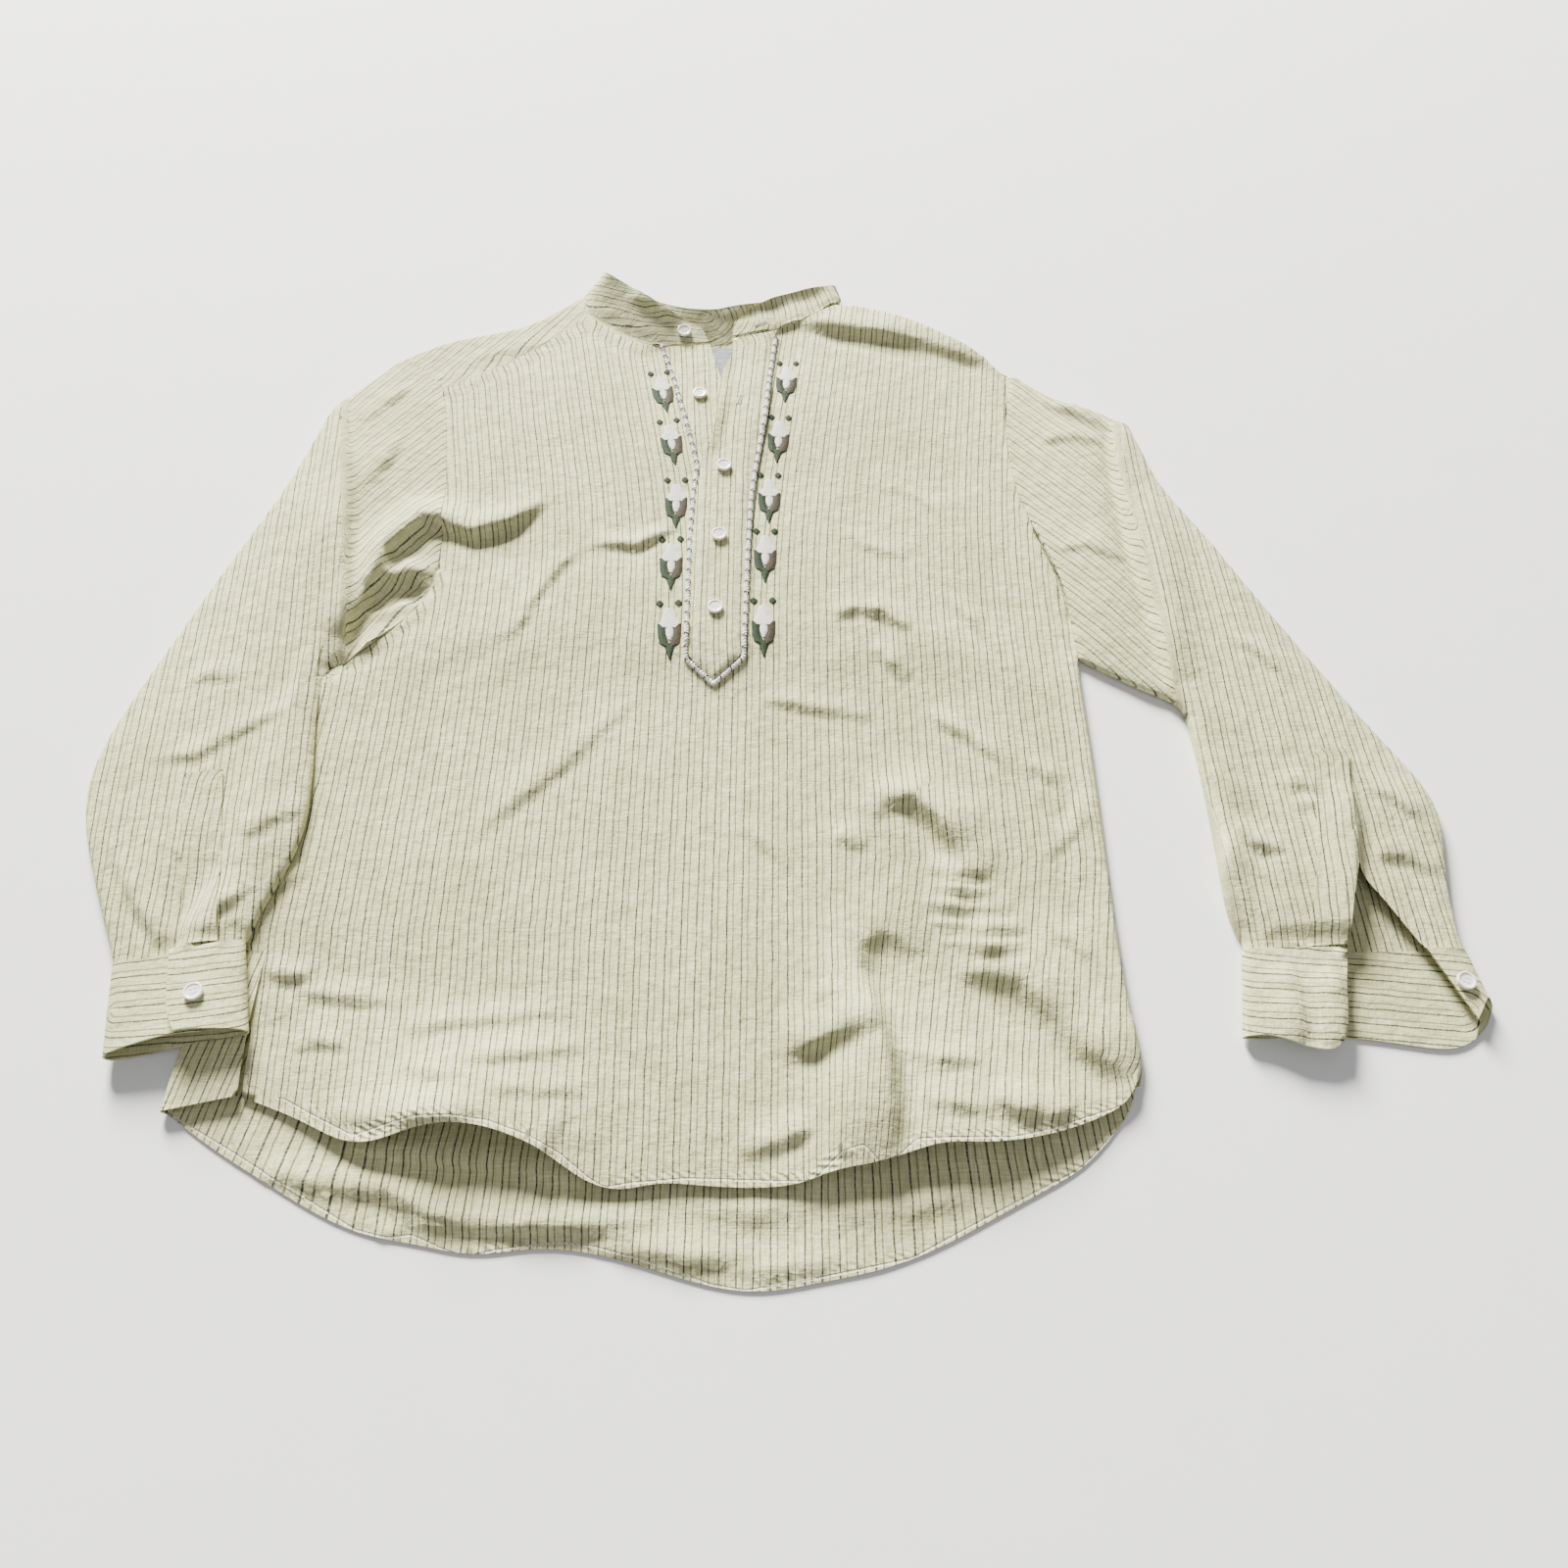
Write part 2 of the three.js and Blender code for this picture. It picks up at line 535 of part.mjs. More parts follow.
const frontColumns = stepsWithRoll(FRONT_COLS);
const frontRows = stepsWithRoll(FRONT_ROWS)
  .toReversed()
  .map(({ at, inset }) => ({ at: 1 - at, inset }));
const isLastColumn = (j) => j === frontColumns.length - 1;
const uncutFront = clothWall(
  "front",
  frontRows.map((r) =>
    frontColumns.map((c) => frontPoint(c.at, r.at, r.at === 0 ? r.inset : 0, c.at === 1 ? c.inset : 0)),
  ),
  { level: (i, j, p) => Math.max(i === 0 ? topRoll(p.x) : 0, isLastColumn(j) ? sideRoll(p.y) : 0) },
);

// Solid of a mesh for a cut, and the mesh of what is left.
function solidOf(mesh) {
  const vertProperties = mesh.geometry.attributes.position.array;
  const triVerts = new Uint32Array(mesh.geometry.index.array);
  return new wasm.Manifold(new wasm.Mesh({ numProp: 3, vertProperties, triVerts }));
}
function meshOf(solid, name, color, roughness) {
  const { vertProperties, triVerts } = solid.getMesh();
  const geometry = new THREE.BufferGeometry();
  geometry.setAttribute("position", new THREE.Float32BufferAttribute(vertProperties, 3));
  geometry.setIndex([...triVerts]);
  const mesh = new THREE.Mesh(geometry, material(color, roughness));
  mesh.name = name;
  return mesh;
}
// Upright prism over an outline in plan, as a mesh with shared vertices.
function prism(outline, low, high) {
  const ring = THREE.ShapeUtils.isClockWise(outline) ? outline.toReversed() : outline;
  const n = ring.length;
  const caps = THREE.ShapeUtils.triangulateShape(ring, []);
  const sides = ring.flatMap((_, i) => [
    [i, (i + 1) % n, n + i],
    [n + i, (i + 1) % n, n + ((i + 1) % n)],
  ]);
  const geometry = new THREE.BufferGeometry();
  const corners = [low, high].flatMap((z) => ring.flatMap((p) => [p.x, p.y, z]));
  geometry.setAttribute("position", new THREE.Float32BufferAttribute(corners, 3));
  geometry.setIndex([...caps.flatMap(([a, b, c]) => [c, b, a, n + a, n + b, n + c]), ...sides.flat()]);
  return new THREE.Mesh(geometry);
}

// The slit in the front, a seam's width inside the placket strips.
const CUT_REACH = 60; // above and below the cloth
const CUT_PAST_NECKLINE = 30;
const slitSide = (edge, inset) => edge.filter((p) => p.y > SLIT_FOOT_Y).map((p) => ({ x: p.x + inset, y: p.y }));
const slitLeft = slitSide(PLACKET_LEFT_EDGE, PLACKET_SEAM);
const slitRight = slitSide(PLACKET_RIGHT_EDGE, -PLACKET_SEAM);
const slitOutline = [
  { x: slitLeft[0].x, y: slitLeft[0].y + CUT_PAST_NECKLINE },
  ...slitLeft,
  { x: slitLeft.at(-1).x, y: SLIT_FOOT_Y },
  { x: slitRight.at(-1).x, y: SLIT_FOOT_Y },
  ...slitRight.toReversed(),
  { x: slitRight[0].x, y: slitRight[0].y + CUT_PAST_NECKLINE },
].map((p) => new THREE.Vector2(p.x, p.y));
const front = meshOf(
  solidOf(uncutFront).subtract(solidOf(prism(slitOutline, -CUT_REACH, CUT_REACH))),
  "front_panel",
  LINEN,
);

// Back panel: a flat layer that turns up at the right fold. At the left fold it comes round to the front seam.
const backLeftX = through(BACK_LEFT_FOLD, "y", "x");
const backRightX = through(FRONT_RIGHT_EDGE, "y", "x");
const backHemY = through(BACK_HEM, "x", "y");
const shoulderLeftY = through(SHOULDER_LEFT, "x", "y");
const shoulderRightY = through(SHOULDER_RIGHT, "x", "y");
const STRIP_STEPS = [0, 0.35, 0.7];
const BACK_LEFT_ROLL_DEGREES = [90, 45, 0, -45];
// Points of the turned-up right edge, and where they lie, as shares of the radius, beside the armhole.
const BACK_ROLL = [
  { degrees: -45, flat: 0.5 },
  { degrees: 0, flat: 1 },
];
const [shoulderLeftEnd, shoulderRightEnd] = [SHOULDER_LEFT[0], SHOULDER_RIGHT.at(-1)];
function backSeamY(x) {
  const share = (x - shoulderLeftEnd.x) / (shoulderRightEnd.x - shoulderLeftEnd.x);
  return lerp(shoulderLeftEnd.y, shoulderRightEnd.y, share) - YOKE_DROP;
}

const BACK_SEAM_ENDS = { left: -256, right: 200 };
const backSideRoll = (y) => smooth((ARMPIT_Y + SIDE_ROLL.aboveArmpit - 2 - y) / SIDE_ROLL.over);

// Below the armpit the back comes round the left fold; above it the layer ends at the armhole.
const isTurned = (leftY) => leftY < ARMPIT_Y;
const backLeftY = (v) => lerp(backSeamY(BACK_SEAM_ENDS.left), BACK_HEM[0].y, v);

function backRow(v) {
  const topLeft = backSeamY(BACK_SEAM_ENDS.left);
  const leftY = backLeftY(v);
  const leftFold = backLeftX(leftY);
  const turned = isTurned(leftY) ? 1 : 0;
  const seamY = lerp(topLeft, FRONT_HEM[0].y, v);
  const seamX = frontLeftX(seamY) - 3 * SEAM_GAP;
  const corner = point(leftFold, leftY, 0);
  const strip = STRIP_STEPS.map((s) => {
    const x = lerp(seamX, leftFold + FOLD_R, s);
    return point(x, lerp(seamY, leftY, s), EDGE_TOP);
  });
  const roll = BACK_LEFT_ROLL_DEGREES.map((degrees) => {
    const a = THREE.MathUtils.degToRad(degrees);
    return point(leftFold + FOLD_R * (1 - Math.cos(a)), leftY, FOLD_R * (1 + Math.sin(a)));
  });
  const leftPart = [...strip, ...roll].map((p) => corner.clone().lerp(p, turned));
  const flat = evenly(BACK_COLS).map((u) => {
    const hemX = lerp(BACK_HEM[0].x, BACK_HEM.at(-1).x, u);
    const y = lerp(backSeamY(lerp(BACK_SEAM_ENDS.left, BACK_SEAM_ENDS.right, u)), backHemY(hemX), v);
    const inset = u === 0 ? FOLD_R * turned : 0;
    return point(lerp(u === 0 ? leftFold : backLeftX(y), backRightX(y) - FOLD_R, u) + inset, y, 0);
  });
  const end = flat.at(-1);
  const right = backSideRoll(end.y);
  const rightPart = BACK_ROLL.map(({ degrees, flat }) => {
    const a = THREE.MathUtils.degToRad(degrees);
    const z = FOLD_R * (1 + Math.sin(a)) - (degrees === 0 ? SEAM_GAP : 0);
    return point(end.x + FOLD_R * lerp(flat, Math.cos(a), right), end.y, z * right);
  });
  return [...leftPart, ...flat, ...rightPart];
}
const backGrid = evenly(BACK_ROWS).map(backRow);
const turnedColumns = STRIP_STEPS.length + BACK_LEFT_ROLL_DEGREES.length;
const back = clothWall("back_panel", backGrid, {
  side: -1,
  color: LINEN_SHADE,
  skip: (i, j) => j < turnedColumns && !isTurned(backLeftY(i / BACK_ROWS)),
  level: (i, j, p) => (j === backGrid[i].length - 1 ? backSideRoll(p.y) : 0),
});

// Yoke: from the back seam over the shoulders; at the left it comes down the front to its own seam.
const yokeFrontY = through(YOKE_FRONT_SEAM, "x", "y");
const necklineY = through(BACK_NECKLINE, "x", "y");
const YOKE_PARTS = [
  { from: SHOULDER_LEFT[0].x, to: SHOULDER_LEFT.at(-1).x, steps: 8 },
  { from: BACK_NECKLINE[0].x, to: BACK_NECKLINE.at(-1).x, steps: 10 },
  { from: SHOULDER_RIGHT[0].x, to: SHOULDER_RIGHT.at(-1).x, steps: 7 },
];
const YOKE_FRONT_STEPS = [0, 0.35, 0.7];
const YOKE_BACK_STEPS = [0, 0.35, 0.7, 1];
const YOKE_ROLL_DEGREES = [90, 45, 0, -45];

// One column of the yoke, from its front edge over the shoulder fold and down the back to its seam.
function yokeColumn(part, t) {
  const { from, to } = YOKE_PARTS[part];
  const atShoulder = lerp(from, to, t);
  // The armholes curve in below the shoulders, so the outer columns follow them.
  const across = (y) => [lerp(backLeftX(y), to, t), atShoulder, lerp(from, backRightX(y), t)][part];
  const edgeY = [shoulderLeftY, necklineY, shoulderRightY][part](atShoulder);
  const rolled = YOKE_ROLL_DEGREES.map((degrees) => {
    const a = THREE.MathUtils.degToRad(part === 2 ? Math.min(degrees, 0) : degrees);
    const z = FOLD_R * (1 + Math.sin(a)) - (part === 2 && degrees >= 0 ? SEAM_GAP / 2 : 0);
    return point(atShoulder, edgeY - FOLD_R * (1 - Math.cos(a)), z);
  });
  const seamX = lerp(YOKE_FRONT_SEAM[0].x, YOKE_FRONT_SEAM.at(-1).x, t);
  const seam = point(seamX, yokeFrontY(seamX) + YOKE_SEAM_GAP, EDGE_TOP);
  const alongArmhole = (p, s) => {
    const straight = lerp(YOKE_FRONT_SEAM[0].x, from, s);
    return point(p.x + (backLeftX(p.y) - straight) * (1 - t), p.y, p.z);
  };
  const frontPart = YOKE_FRONT_STEPS.map((s) =>
    part === 0 ? alongArmhole(seam.clone().lerp(rolled[0], s), s) : rolled[0],
  );
  const isNeck = part === 1 && t > 0 && t < 1;
  const flatTop = isNeck ? edgeY : edgeY - FOLD_R;
  const flat = YOKE_BACK_STEPS.map((s) => {
    const y = lerp(flatTop, backSeamY(atShoulder) + 2 * SEAM_GAP, s);
    return point(across(y), y, 0);
  });
  return [...frontPart, ...rolled, ...flat];
}
const yokeColumns = YOKE_PARTS.flatMap((part, k) => evenly(part.steps).map((t) => yokeColumn(k, t)));
const yokeRows = yokeColumns[0].map((_, i) => yokeColumns.map((column) => column[i]));
const neckFrom = YOKE_PARTS[0].steps;
const neckTo = neckFrom + YOKE_PARTS[1].steps + 2;
const flatFrom = YOKE_FRONT_STEPS.length + YOKE_ROLL_DEGREES.length;
const yoke = clothWall("yoke", yokeRows, {
  side: -1,
  color: LINEN_SHADE,
  skip: (i, j) => i < flatFrom && j >= neckFrom && j < neckTo,
  level: (i, j) => (i < flatFrom - 1 && j >= neckTo ? 1 : 0),
});

// Placket strips, from one long edge to the other, laid on the front
const STRIP_ROWS = 22;
const STRIP_COLS = 3;
const STRIP_TOP_LEVEL_Y = 332; // above here a strip keeps the level of the front below it
const onFront = (x, y) => topAt([uncutFront], x, y);
function strip(name, { left, right, foot, lift, tip }) {
  const leftX = through(left, "y", "x");
  const rightX = through(right, "y", "x");
  const grid = evenly(STRIP_ROWS).map((v) =>
    evenly(STRIP_COLS).map((u) => {
      const y = lerp(lerp(left[0].y, right[0].y, u), foot, v);
      const x = lerp(leftX(y), rightX(y), u);
      return point(x, y, onFront(x, Math.min(y, STRIP_TOP_LEVEL_Y)) + lift);
    }),
  );
  if (tip) {
    const end = tipPoint(tip, lift);
    grid.push(grid.at(-1).map((p) => p.clone().lerp(end, 0.5)));
    grid.push(grid.at(-1).map(() => end));
  }
  return clothWall(name, grid);
}
const tipPoint = (tip, lift) => point(tip.x, tip.y, onFront(tip.x, tip.y) + lift);
const underlap = strip("placket_underlap", {
  left: PLACKET_LEFT_EDGE,
  right: UNDERLAP_FREE_EDGE,
  foot: UNDERLAP_FREE_EDGE.at(-1).y,
  lift: LAY_GAP + CLOTH,
});
const overlap = strip("placket_overlap", {
  left: OVERLAP_FREE_EDGE,
  right: PLACKET_RIGHT_EDGE,
  foot: PLACKET_RIGHT_EDGE.at(-1).y,
  lift: 2 * (LAY_GAP + CLOTH),
  tip: PLACKET_TIP,
});

// Sleeves: flattened tubes whose under layer rests on the surface, or on the body where they lie over it.
const fullBodyTop = [uncutFront, back];
const HOOK = 7;
const LOWEST_PUFF = -1.2; // how far a fold may press the upper layer below the level of its edges
const PUFF_FULLNESS = 0.7; // below 1 the upper layer rises sooner beside its edges
const BOW_FADE = 1 / 12;
const SLEEVE_FOLD_FADE = 1 / 5;
const DRAPE_ROWS = { from: 2, over: 5 }; // sections over which the sleeve rises on to the body
const SLEEVE_ROLL_DEGREES = [45, 0, -45];
// The wall's outer points round one section, from one side of the slit under the sleeve to the other.
function sectionRing(row, { slit, meshes, drape, folds, radius, bowX, steps }) {
  const width = Math.hypot(row.outerX - row.innerX, row.outerY - row.innerY);
  const hookX = (share) => {
    const distance = (1 - share) * width;
    return (row.hook ?? 0) * HOOK * (1 - Math.exp(-distance / FOLD_R)) * smooth(2 * share - 1);
  };
  const place = (share) => ({
    x: lerp(row.outerX, row.innerX, share) + row.bow * bowX(share) - hookX(share),
    y: lerp(row.outerY, row.innerY, share),
  });
  const rollShare = radius / width;
  const ground = (share) => {
    const p = place(clamp(share, 0, 1));
    return meshes.length && drape > 0 ? drape * groundUnder(meshes, p.x, p.y) : 0;
  };
  const upper = (share) => {
    const p = place(share);
    const inside = smooth(Math.min(share, 1 - share) / SLEEVE_FOLD_FADE);
    const puff = row.puff * Math.sin(Math.PI * clamp(share, 0, 1)) ** PUFF_FULLNESS;
    const raised = Math.max(puff + foldHeight(folds, p.x, p.y) * inside, LOWEST_PUFF);
    return point(p.x, p.y, ground(share) + 2 * radius + raised);
  };
  const under = (share) => {
    const p = place(share);
    return point(p.x, p.y, ground(share));
  };
  const roll = (end, degrees) => {
    const a = THREE.MathUtils.degToRad(degrees);
    const p = place(end === 0 ? rollShare * (1 - Math.cos(a)) : 1 - rollShare * (1 - Math.cos(a)));
    return point(p.x, p.y, ground(end) + radius * (1 + Math.sin(a)));
  };
  const span = (from, to, n) => evenly(n).map((t) => lerp(from, to, t));
  return [
    ...span(slit.from, 1 - rollShare, steps).map(upper),
    ...SLEEVE_ROLL_DEGREES.map((degrees) => roll(1, degrees)),
    ...SLEEVE_UNDER_STEPS.map((t) => under(lerp(1 - rollShare, rollShare, t))),
    ...SLEEVE_ROLL_DEGREES.toReversed().map((degrees) => roll(0, degrees)),
    ...span(rollShare, slit.to, steps).map(upper),
  ];
}
function sleeve(name, rows, { side, slits, meshes, edge, gap }) {
  const [first] = rows;
  const edgeX = through(edge, "y", "x");
  const bowX = (share) => {
    const y = lerp(first.outerY, first.innerY, share);
    const ends = smooth(Math.min(share, 1 - share) / BOW_FADE);
    return (edgeX(y) - lerp(first.outerX, first.innerX, share)) * ends - gap * side;
  };
  const closed = rows.length - slits.length;
  const grid = rows.map((row, k) =>
    sectionRing(row, {
      slit: slits[Math.max(k - closed, 0)],
      meshes,
      drape: smooth((k - DRAPE_ROWS.from) / DRAPE_ROWS.over),
      folds: SLEEVE_FOLDS,
      radius: FOLD_R,
      bowX,
      steps: SLEEVE_TOP_STEPS,
    }),
  );
  return clothWall(name, grid, { side });
}
const leftSleeve = sleeve("sleeve_left", LEFT_SLEEVE, {
  side: 1,
  slits: LEFT_SLIT,
  meshes: fullBodyTop,
  edge: BACK_LEFT_FOLD,
  gap: LEFT_ARMHOLE_GAP,
});
const rightSleeve = sleeve("sleeve_right", RIGHT_SLEEVE, {
  side: -1,
  slits: RIGHT_SLIT,
  meshes: [],
  edge: FRONT_RIGHT_EDGE,
  gap: RIGHT_ARMHOLE_GAP,
});

// Cuffs: doubled bands from one lapped end, round under the sleeve, to the other. A route holds the band's
// upper and lower edge at each of its turns.
function cuffGrid(route, rows) {
  return evenly(rows).map((v) =>
    route.map(({ top, low, corner = 0 }) => {
      const p = top.clone().lerp(low, v);
      // A lapped end is rounded at its lower corner, where its edge turns in along the band.
      p.x += corner * (1 - Math.sqrt(1 - clamp(1 - (1 - v) / ROUNDED_SHARE, 0, 1) ** 2));
      return p;
    }),
  );
}

// The left cuff is buttoned: its lapped end lies on its other end. It rests half on the body.
const BODY_UNDER_CUFF = EDGE_TOP + LAY_GAP;
const LEFT_CUFF_BODY_SHARE = 0.53; // share of its width from which it lies on the body
const LEFT_CUFF_DRAPE = 0.13;
const LEFT_CUFF_LEVELS = { lapped: 17.5, under: 12 };
const LEFT_CUFF_ENDS = { lapped: 0.46, under: 0.68 };
const CUFF_STEPS = 6;
const leftCuffTop = LEFT_SLEEVE.at(-1);
function leftCuffRoute() {
  const rollShare = CUFF_FOLD_R / (leftCuffTop.innerX - leftCuffTop.outerX);
  const ground = (share) => BODY_UNDER_CUFF * smooth((share - LEFT_CUFF_BODY_SHARE) / LEFT_CUFF_DRAPE + 1);
  const edges = (share, level, rise = 0) => ({
    top: point(
      lerp(leftCuffTop.outerX, leftCuffTop.innerX, share),
      lerp(leftCuffTop.outerY, leftCuffTop.innerY, share) - SEAM_GAP,
      level,
    ),
    low: point(
      lerp(LEFT_CUFF_LOWER.outerX, LEFT_CUFF_LOWER.innerX, share),
      lerp(LEFT_CUFF_LOWER.outerY, LEFT_CUFF_LOWER.innerY, share) + rise,
      level + rise,
    ),
  });
  const roll = (end, level, degrees) => {
    const a = THREE.MathUtils.degToRad(degrees);
    const inset = rollShare * (1 - Math.cos(a));
    return edges(end === 0 ? inset : 1 - inset, lerp(ground(end), level, (1 + Math.sin(a)) / 2));
  };
  const upper = (from, to, level) =>
    evenly(CUFF_STEPS).map((t) => {
      const share = lerp(from, to, t);
      return edges(share, level, LEFT_CUFF_LOWER.rise * Math.sin(Math.PI * share));
    });
  const underShares = SLEEVE_UNDER_STEPS.map((t) => lerp(1 - rollShare, rollShare, t));
  const route = [
    ...upper(LEFT_CUFF_ENDS.lapped, 1 - rollShare, LEFT_CUFF_LEVELS.lapped),
    ...CUFF_ROLL_DEGREES.map((degrees) => roll(1, LEFT_CUFF_LEVELS.lapped, degrees)),
    ...underShares.map((share) => edges(share, ground(share))),
    ...CUFF_ROLL_DEGREES.toReversed().map((degrees) => roll(0, LEFT_CUFF_LEVELS.under, degrees)),
    ...upper(rollShare, LEFT_CUFF_ENDS.under, LEFT_CUFF_LEVELS.under),
  ];
  route[0].corner = FLAP_TURN;
  return route;
}
const LEFT_CUFF_ROWS = 4;
const leftCuff = clothWall("cuff_left", cuffGrid(leftCuffRoute(), LEFT_CUFF_ROWS), { wall: DOUBLED });

// The right cuff is undone and spread: a row for each of its turns, from the end beside the sleeve placket,
// round the inner fold, along its under layer and over the outer fold to the end that carries the button.
const RIGHT_CUFF_TOP_Y = -210 - SEAM_GAP;
const RIGHT_CUFF = [
  { topX: 372, topZ: 10, lowX: 358, lowY: -271, lowZ: 10 },
  { topX: 351, topZ: 10, lowX: 347, lowY: -278, lowZ: 11 },
  { topX: 331, topZ: 10, lowX: 330, lowY: -274, lowZ: 11 },
  { topX: 318, topZ: 9.5, lowX: 313, lowY: -266, lowZ: 10 },
  { topX: 311, topZ: 8.5, lowX: 301, lowY: -267, lowZ: 8.5 },
  { topX: 308.5, topZ: 7, lowX: 298, lowY: -267, lowZ: 7 },
  { topX: 307, topZ: 4.2, lowX: 297, lowY: -267, lowZ: 4.2 },
  { topX: 308.5, topZ: 1.3, lowX: 298, lowY: -267, lowZ: 1.3 },
  { topX: 312, topZ: 0, lowX: 302, lowY: -267, lowZ: 0 },
  { topX: 330, topZ: 0, lowX: 325, lowY: -266, lowZ: 0 },
  { topX: 352, topZ: 0, lowX: 350, lowY: -266, lowZ: 0 },
  { topX: 376, topZ: 0, lowX: 376, lowY: -267, lowZ: 0 },
  { topX: 400, topZ: 0, lowX: 404, lowY: -272, lowZ: 0 },
  { topX: 424, topZ: 0, lowX: 428, lowY: -275, lowZ: 0 },
  { topX: 442, topZ: 0, lowX: 445, lowY: -264, lowZ: 0 },
  { topX: 447, topZ: 1.3, lowX: 452, lowY: -256, lowZ: 1.3 },
  { topX: 449, topZ: 4.2, lowX: 455, lowY: -247, lowZ: 4.2 },
  { topX: 447, topZ: 7.4, lowX: 453, lowY: -242, lowZ: 7.4 },
  { topX: 442, topZ: 9, lowX: 450, lowY: -244, lowZ: 9 },
  { topX: 432, topZ: 10, lowX: 446, lowY: -250, lowZ: 9.5 },
  { topX: 421, topZ: 10, lowX: 441, lowY: -257, lowZ: 9.5 },
];
const rightCuffRoute = RIGHT_CUFF.map((r) => ({
  top: point(r.topX, RIGHT_CUFF_TOP_Y, r.topZ),
  low: point(r.lowX, r.lowY, r.lowZ),
}));
const RIGHT_CUFF_ROWS = 3;
const rightCuff = clothWall("cuff_right", cuffGrid(rightCuffRoute, RIGHT_CUFF_ROWS), { wall: DOUBLED, side: -1 });

// Collar band, with its wall's outer face outwards all round
const COLLAR_ROWS = 4;
const collarRows = evenly(COLLAR_ROWS).map((v) =>
  COLLAR.map((r) => point(r.seamX, r.seamY, r.seamZ).lerp(point(r.topX, r.topY, r.topZ), v)),
);
const collar = clothWall("collar_band", collarRows, { wall: DOUBLED });

// Sleeve plackets, each laid on its sleeve from its top down to the cuff
const SLEEVE_PLACKETS = [
  {
    name: "sleeve_placket_left",
    on: leftSleeve,
    left: [
      { x: -382, y: -88 },
      { x: -356, y: -212 },
    ],
    right: [
      { x: -357, y: -84 },
      { x: -331, y: -209 },
    ],
  },
  {
    name: "sleeve_placket_right",
    on: rightSleeve,
    left: [
      { x: 379, y: -68 },
      { x: 363, y: -153 },
      { x: 346, y: -209 },
    ],
    right: [
      { x: 404, y: -68 },
      { x: 387, y: -153 },
      { x: 379, y: -178 },
      { x: 371, y: -209 },
    ],
  },
];
const SLEEVE_PLACKET_LIFT = 1.6 * LAY_GAP + CLOTH;
const SLEEVE_PLACKET_ROWS = 12;
const SLEEVE_PLACKET_COLS = 5;
const sleevePlackets = SLEEVE_PLACKETS.map(({ name, on, left, right }) => {
  const leftX = through(left, "y", "x");
  const rightX = through(right, "y", "x");
  const rows = evenly(SLEEVE_PLACKET_ROWS).map((v) =>
    evenly(SLEEVE_PLACKET_COLS).map((u) => {
      const y = lerp(lerp(left[0].y, right[0].y, u), lerp(left.at(-1).y, right.at(-1).y, u), v);
      const x = lerp(leftX(y), rightX(y), u);
      return point(x, y, topAt([on], x, y) + SLEEVE_PLACKET_LIFT);
    }),
  );
  return clothWall(name, rows, { color: LINEN_SHADE });
});

// Blank neck label, on the inside of the yoke
const LABEL = { x: -33, width: 44, top: 342, drop: 36 };
const labelRows = evenly(2).map((v) =>
  evenly(2).map((u) =>
    point(LABEL.x + LABEL.width * (u - 0.5), LABEL.top - LABEL.drop * v, CLOTH + LAY_GAP + LABEL_WALL),
  ),
);
const label = clothWall("neck_label", labelRows, { wall: LABEL_WALL, color: LABEL_GREY });

// Buttons: turned discs with a raised rim and four holes, each square to the cloth that it is sewn on
const BUTTON_SIDES = 20;
const HOLE_SIDES = 6;
const BUTTON_EDGE = 0.4;
const buttonProfile = [
  [0, 0],
  [BUTTON_R - BUTTON_EDGE, 0],
  [BUTTON_R, BUTTON_EDGE],
  [BUTTON_R, BUTTON_THICK - BUTTON_EDGE],
  [BUTTON_R - BUTTON_EDGE, BUTTON_THICK],
  [BUTTON_R - 3 * BUTTON_RIM, BUTTON_THICK - BUTTON_RIM],
  [0, BUTTON_THICK - BUTTON_RIM],
].map(([r, z]) => new THREE.Vector2(r, z));
function merged(geometry) {
  geometry.deleteAttribute("normal");
  geometry.deleteAttribute("uv");
  return new THREE.Mesh(mergeVertices(geometry, 1e-4));
}
const buttonTurned = new THREE.LatheGeometry(buttonProfile, BUTTON_SIDES).rotateX(Math.PI / 2);
const buttonBlank = solidOf(merged(buttonTurned));
const buttonSolid = [-1, 1]
  .flatMap((a) => [-1, 1].map((b) => [(a * BUTTON_HOLE_PITCH) / 2, (b * BUTTON_HOLE_PITCH) / 2]))
  .reduce((solid, [x, y]) => {
    const hole = new THREE.CylinderGeometry(BUTTON_HOLE_R, BUTTON_HOLE_R, 4 * BUTTON_THICK, HOLE_SIDES);
    return solid.subtract(solidOf(merged(hole.rotateX(Math.PI / 2).translate(x, y, 0))));
  }, buttonBlank);

function buttonOn(name, x, y, cloth) {
  const heightAt = (dx, dy) => topAt([cloth], x + dx, y + dy);
  const reach = BUTTON_R - BUTTON_EDGE;
  const slopeX = (heightAt(reach, 0) - heightAt(-reach, 0)) / (2 * reach);
  const slopeY = (heightAt(0, reach) - heightAt(0, -reach)) / (2 * reach);
  const normal = point(-slopeX, -slopeY, 1).normalize();
  const bumps = evenly(12).map((t) => {
    const [dx, dy] = [reach * Math.cos(2 * Math.PI * t), reach * Math.sin(2 * Math.PI * t)];
    return heightAt(dx, dy) - slopeX * dx - slopeY * dy;
  });
  const mesh = meshOf(buttonSolid, name, SHELL_WHITE, 0.35);
  mesh.position.set(x, y, Math.max(heightAt(0, 0), ...bumps) + SEAM_GAP);
  mesh.quaternion.setFromUnitVectors(point(0, 0, 1), normal);
  return mesh;
}
const BUTTONS = [
  { name: "button_collar", x: -65, y: 351, cloth: collar },
  { name: "button_front_1", x: -49, y: 276, cloth: underlap },
  { name: "button_front_2", x: -27, y: 192, cloth: overlap },
  { name: "button_front_3", x: -29, y: 121, cloth: overlap },
  { name: "button_front_4", x: -30, y: 52, cloth: overlap },
  { name: "button_cuff_left", x: -336, y: -244, cloth: leftCuff },
  { name: "button_cuff_right", x: 439, y: -233, cloth: rightCuff },
];
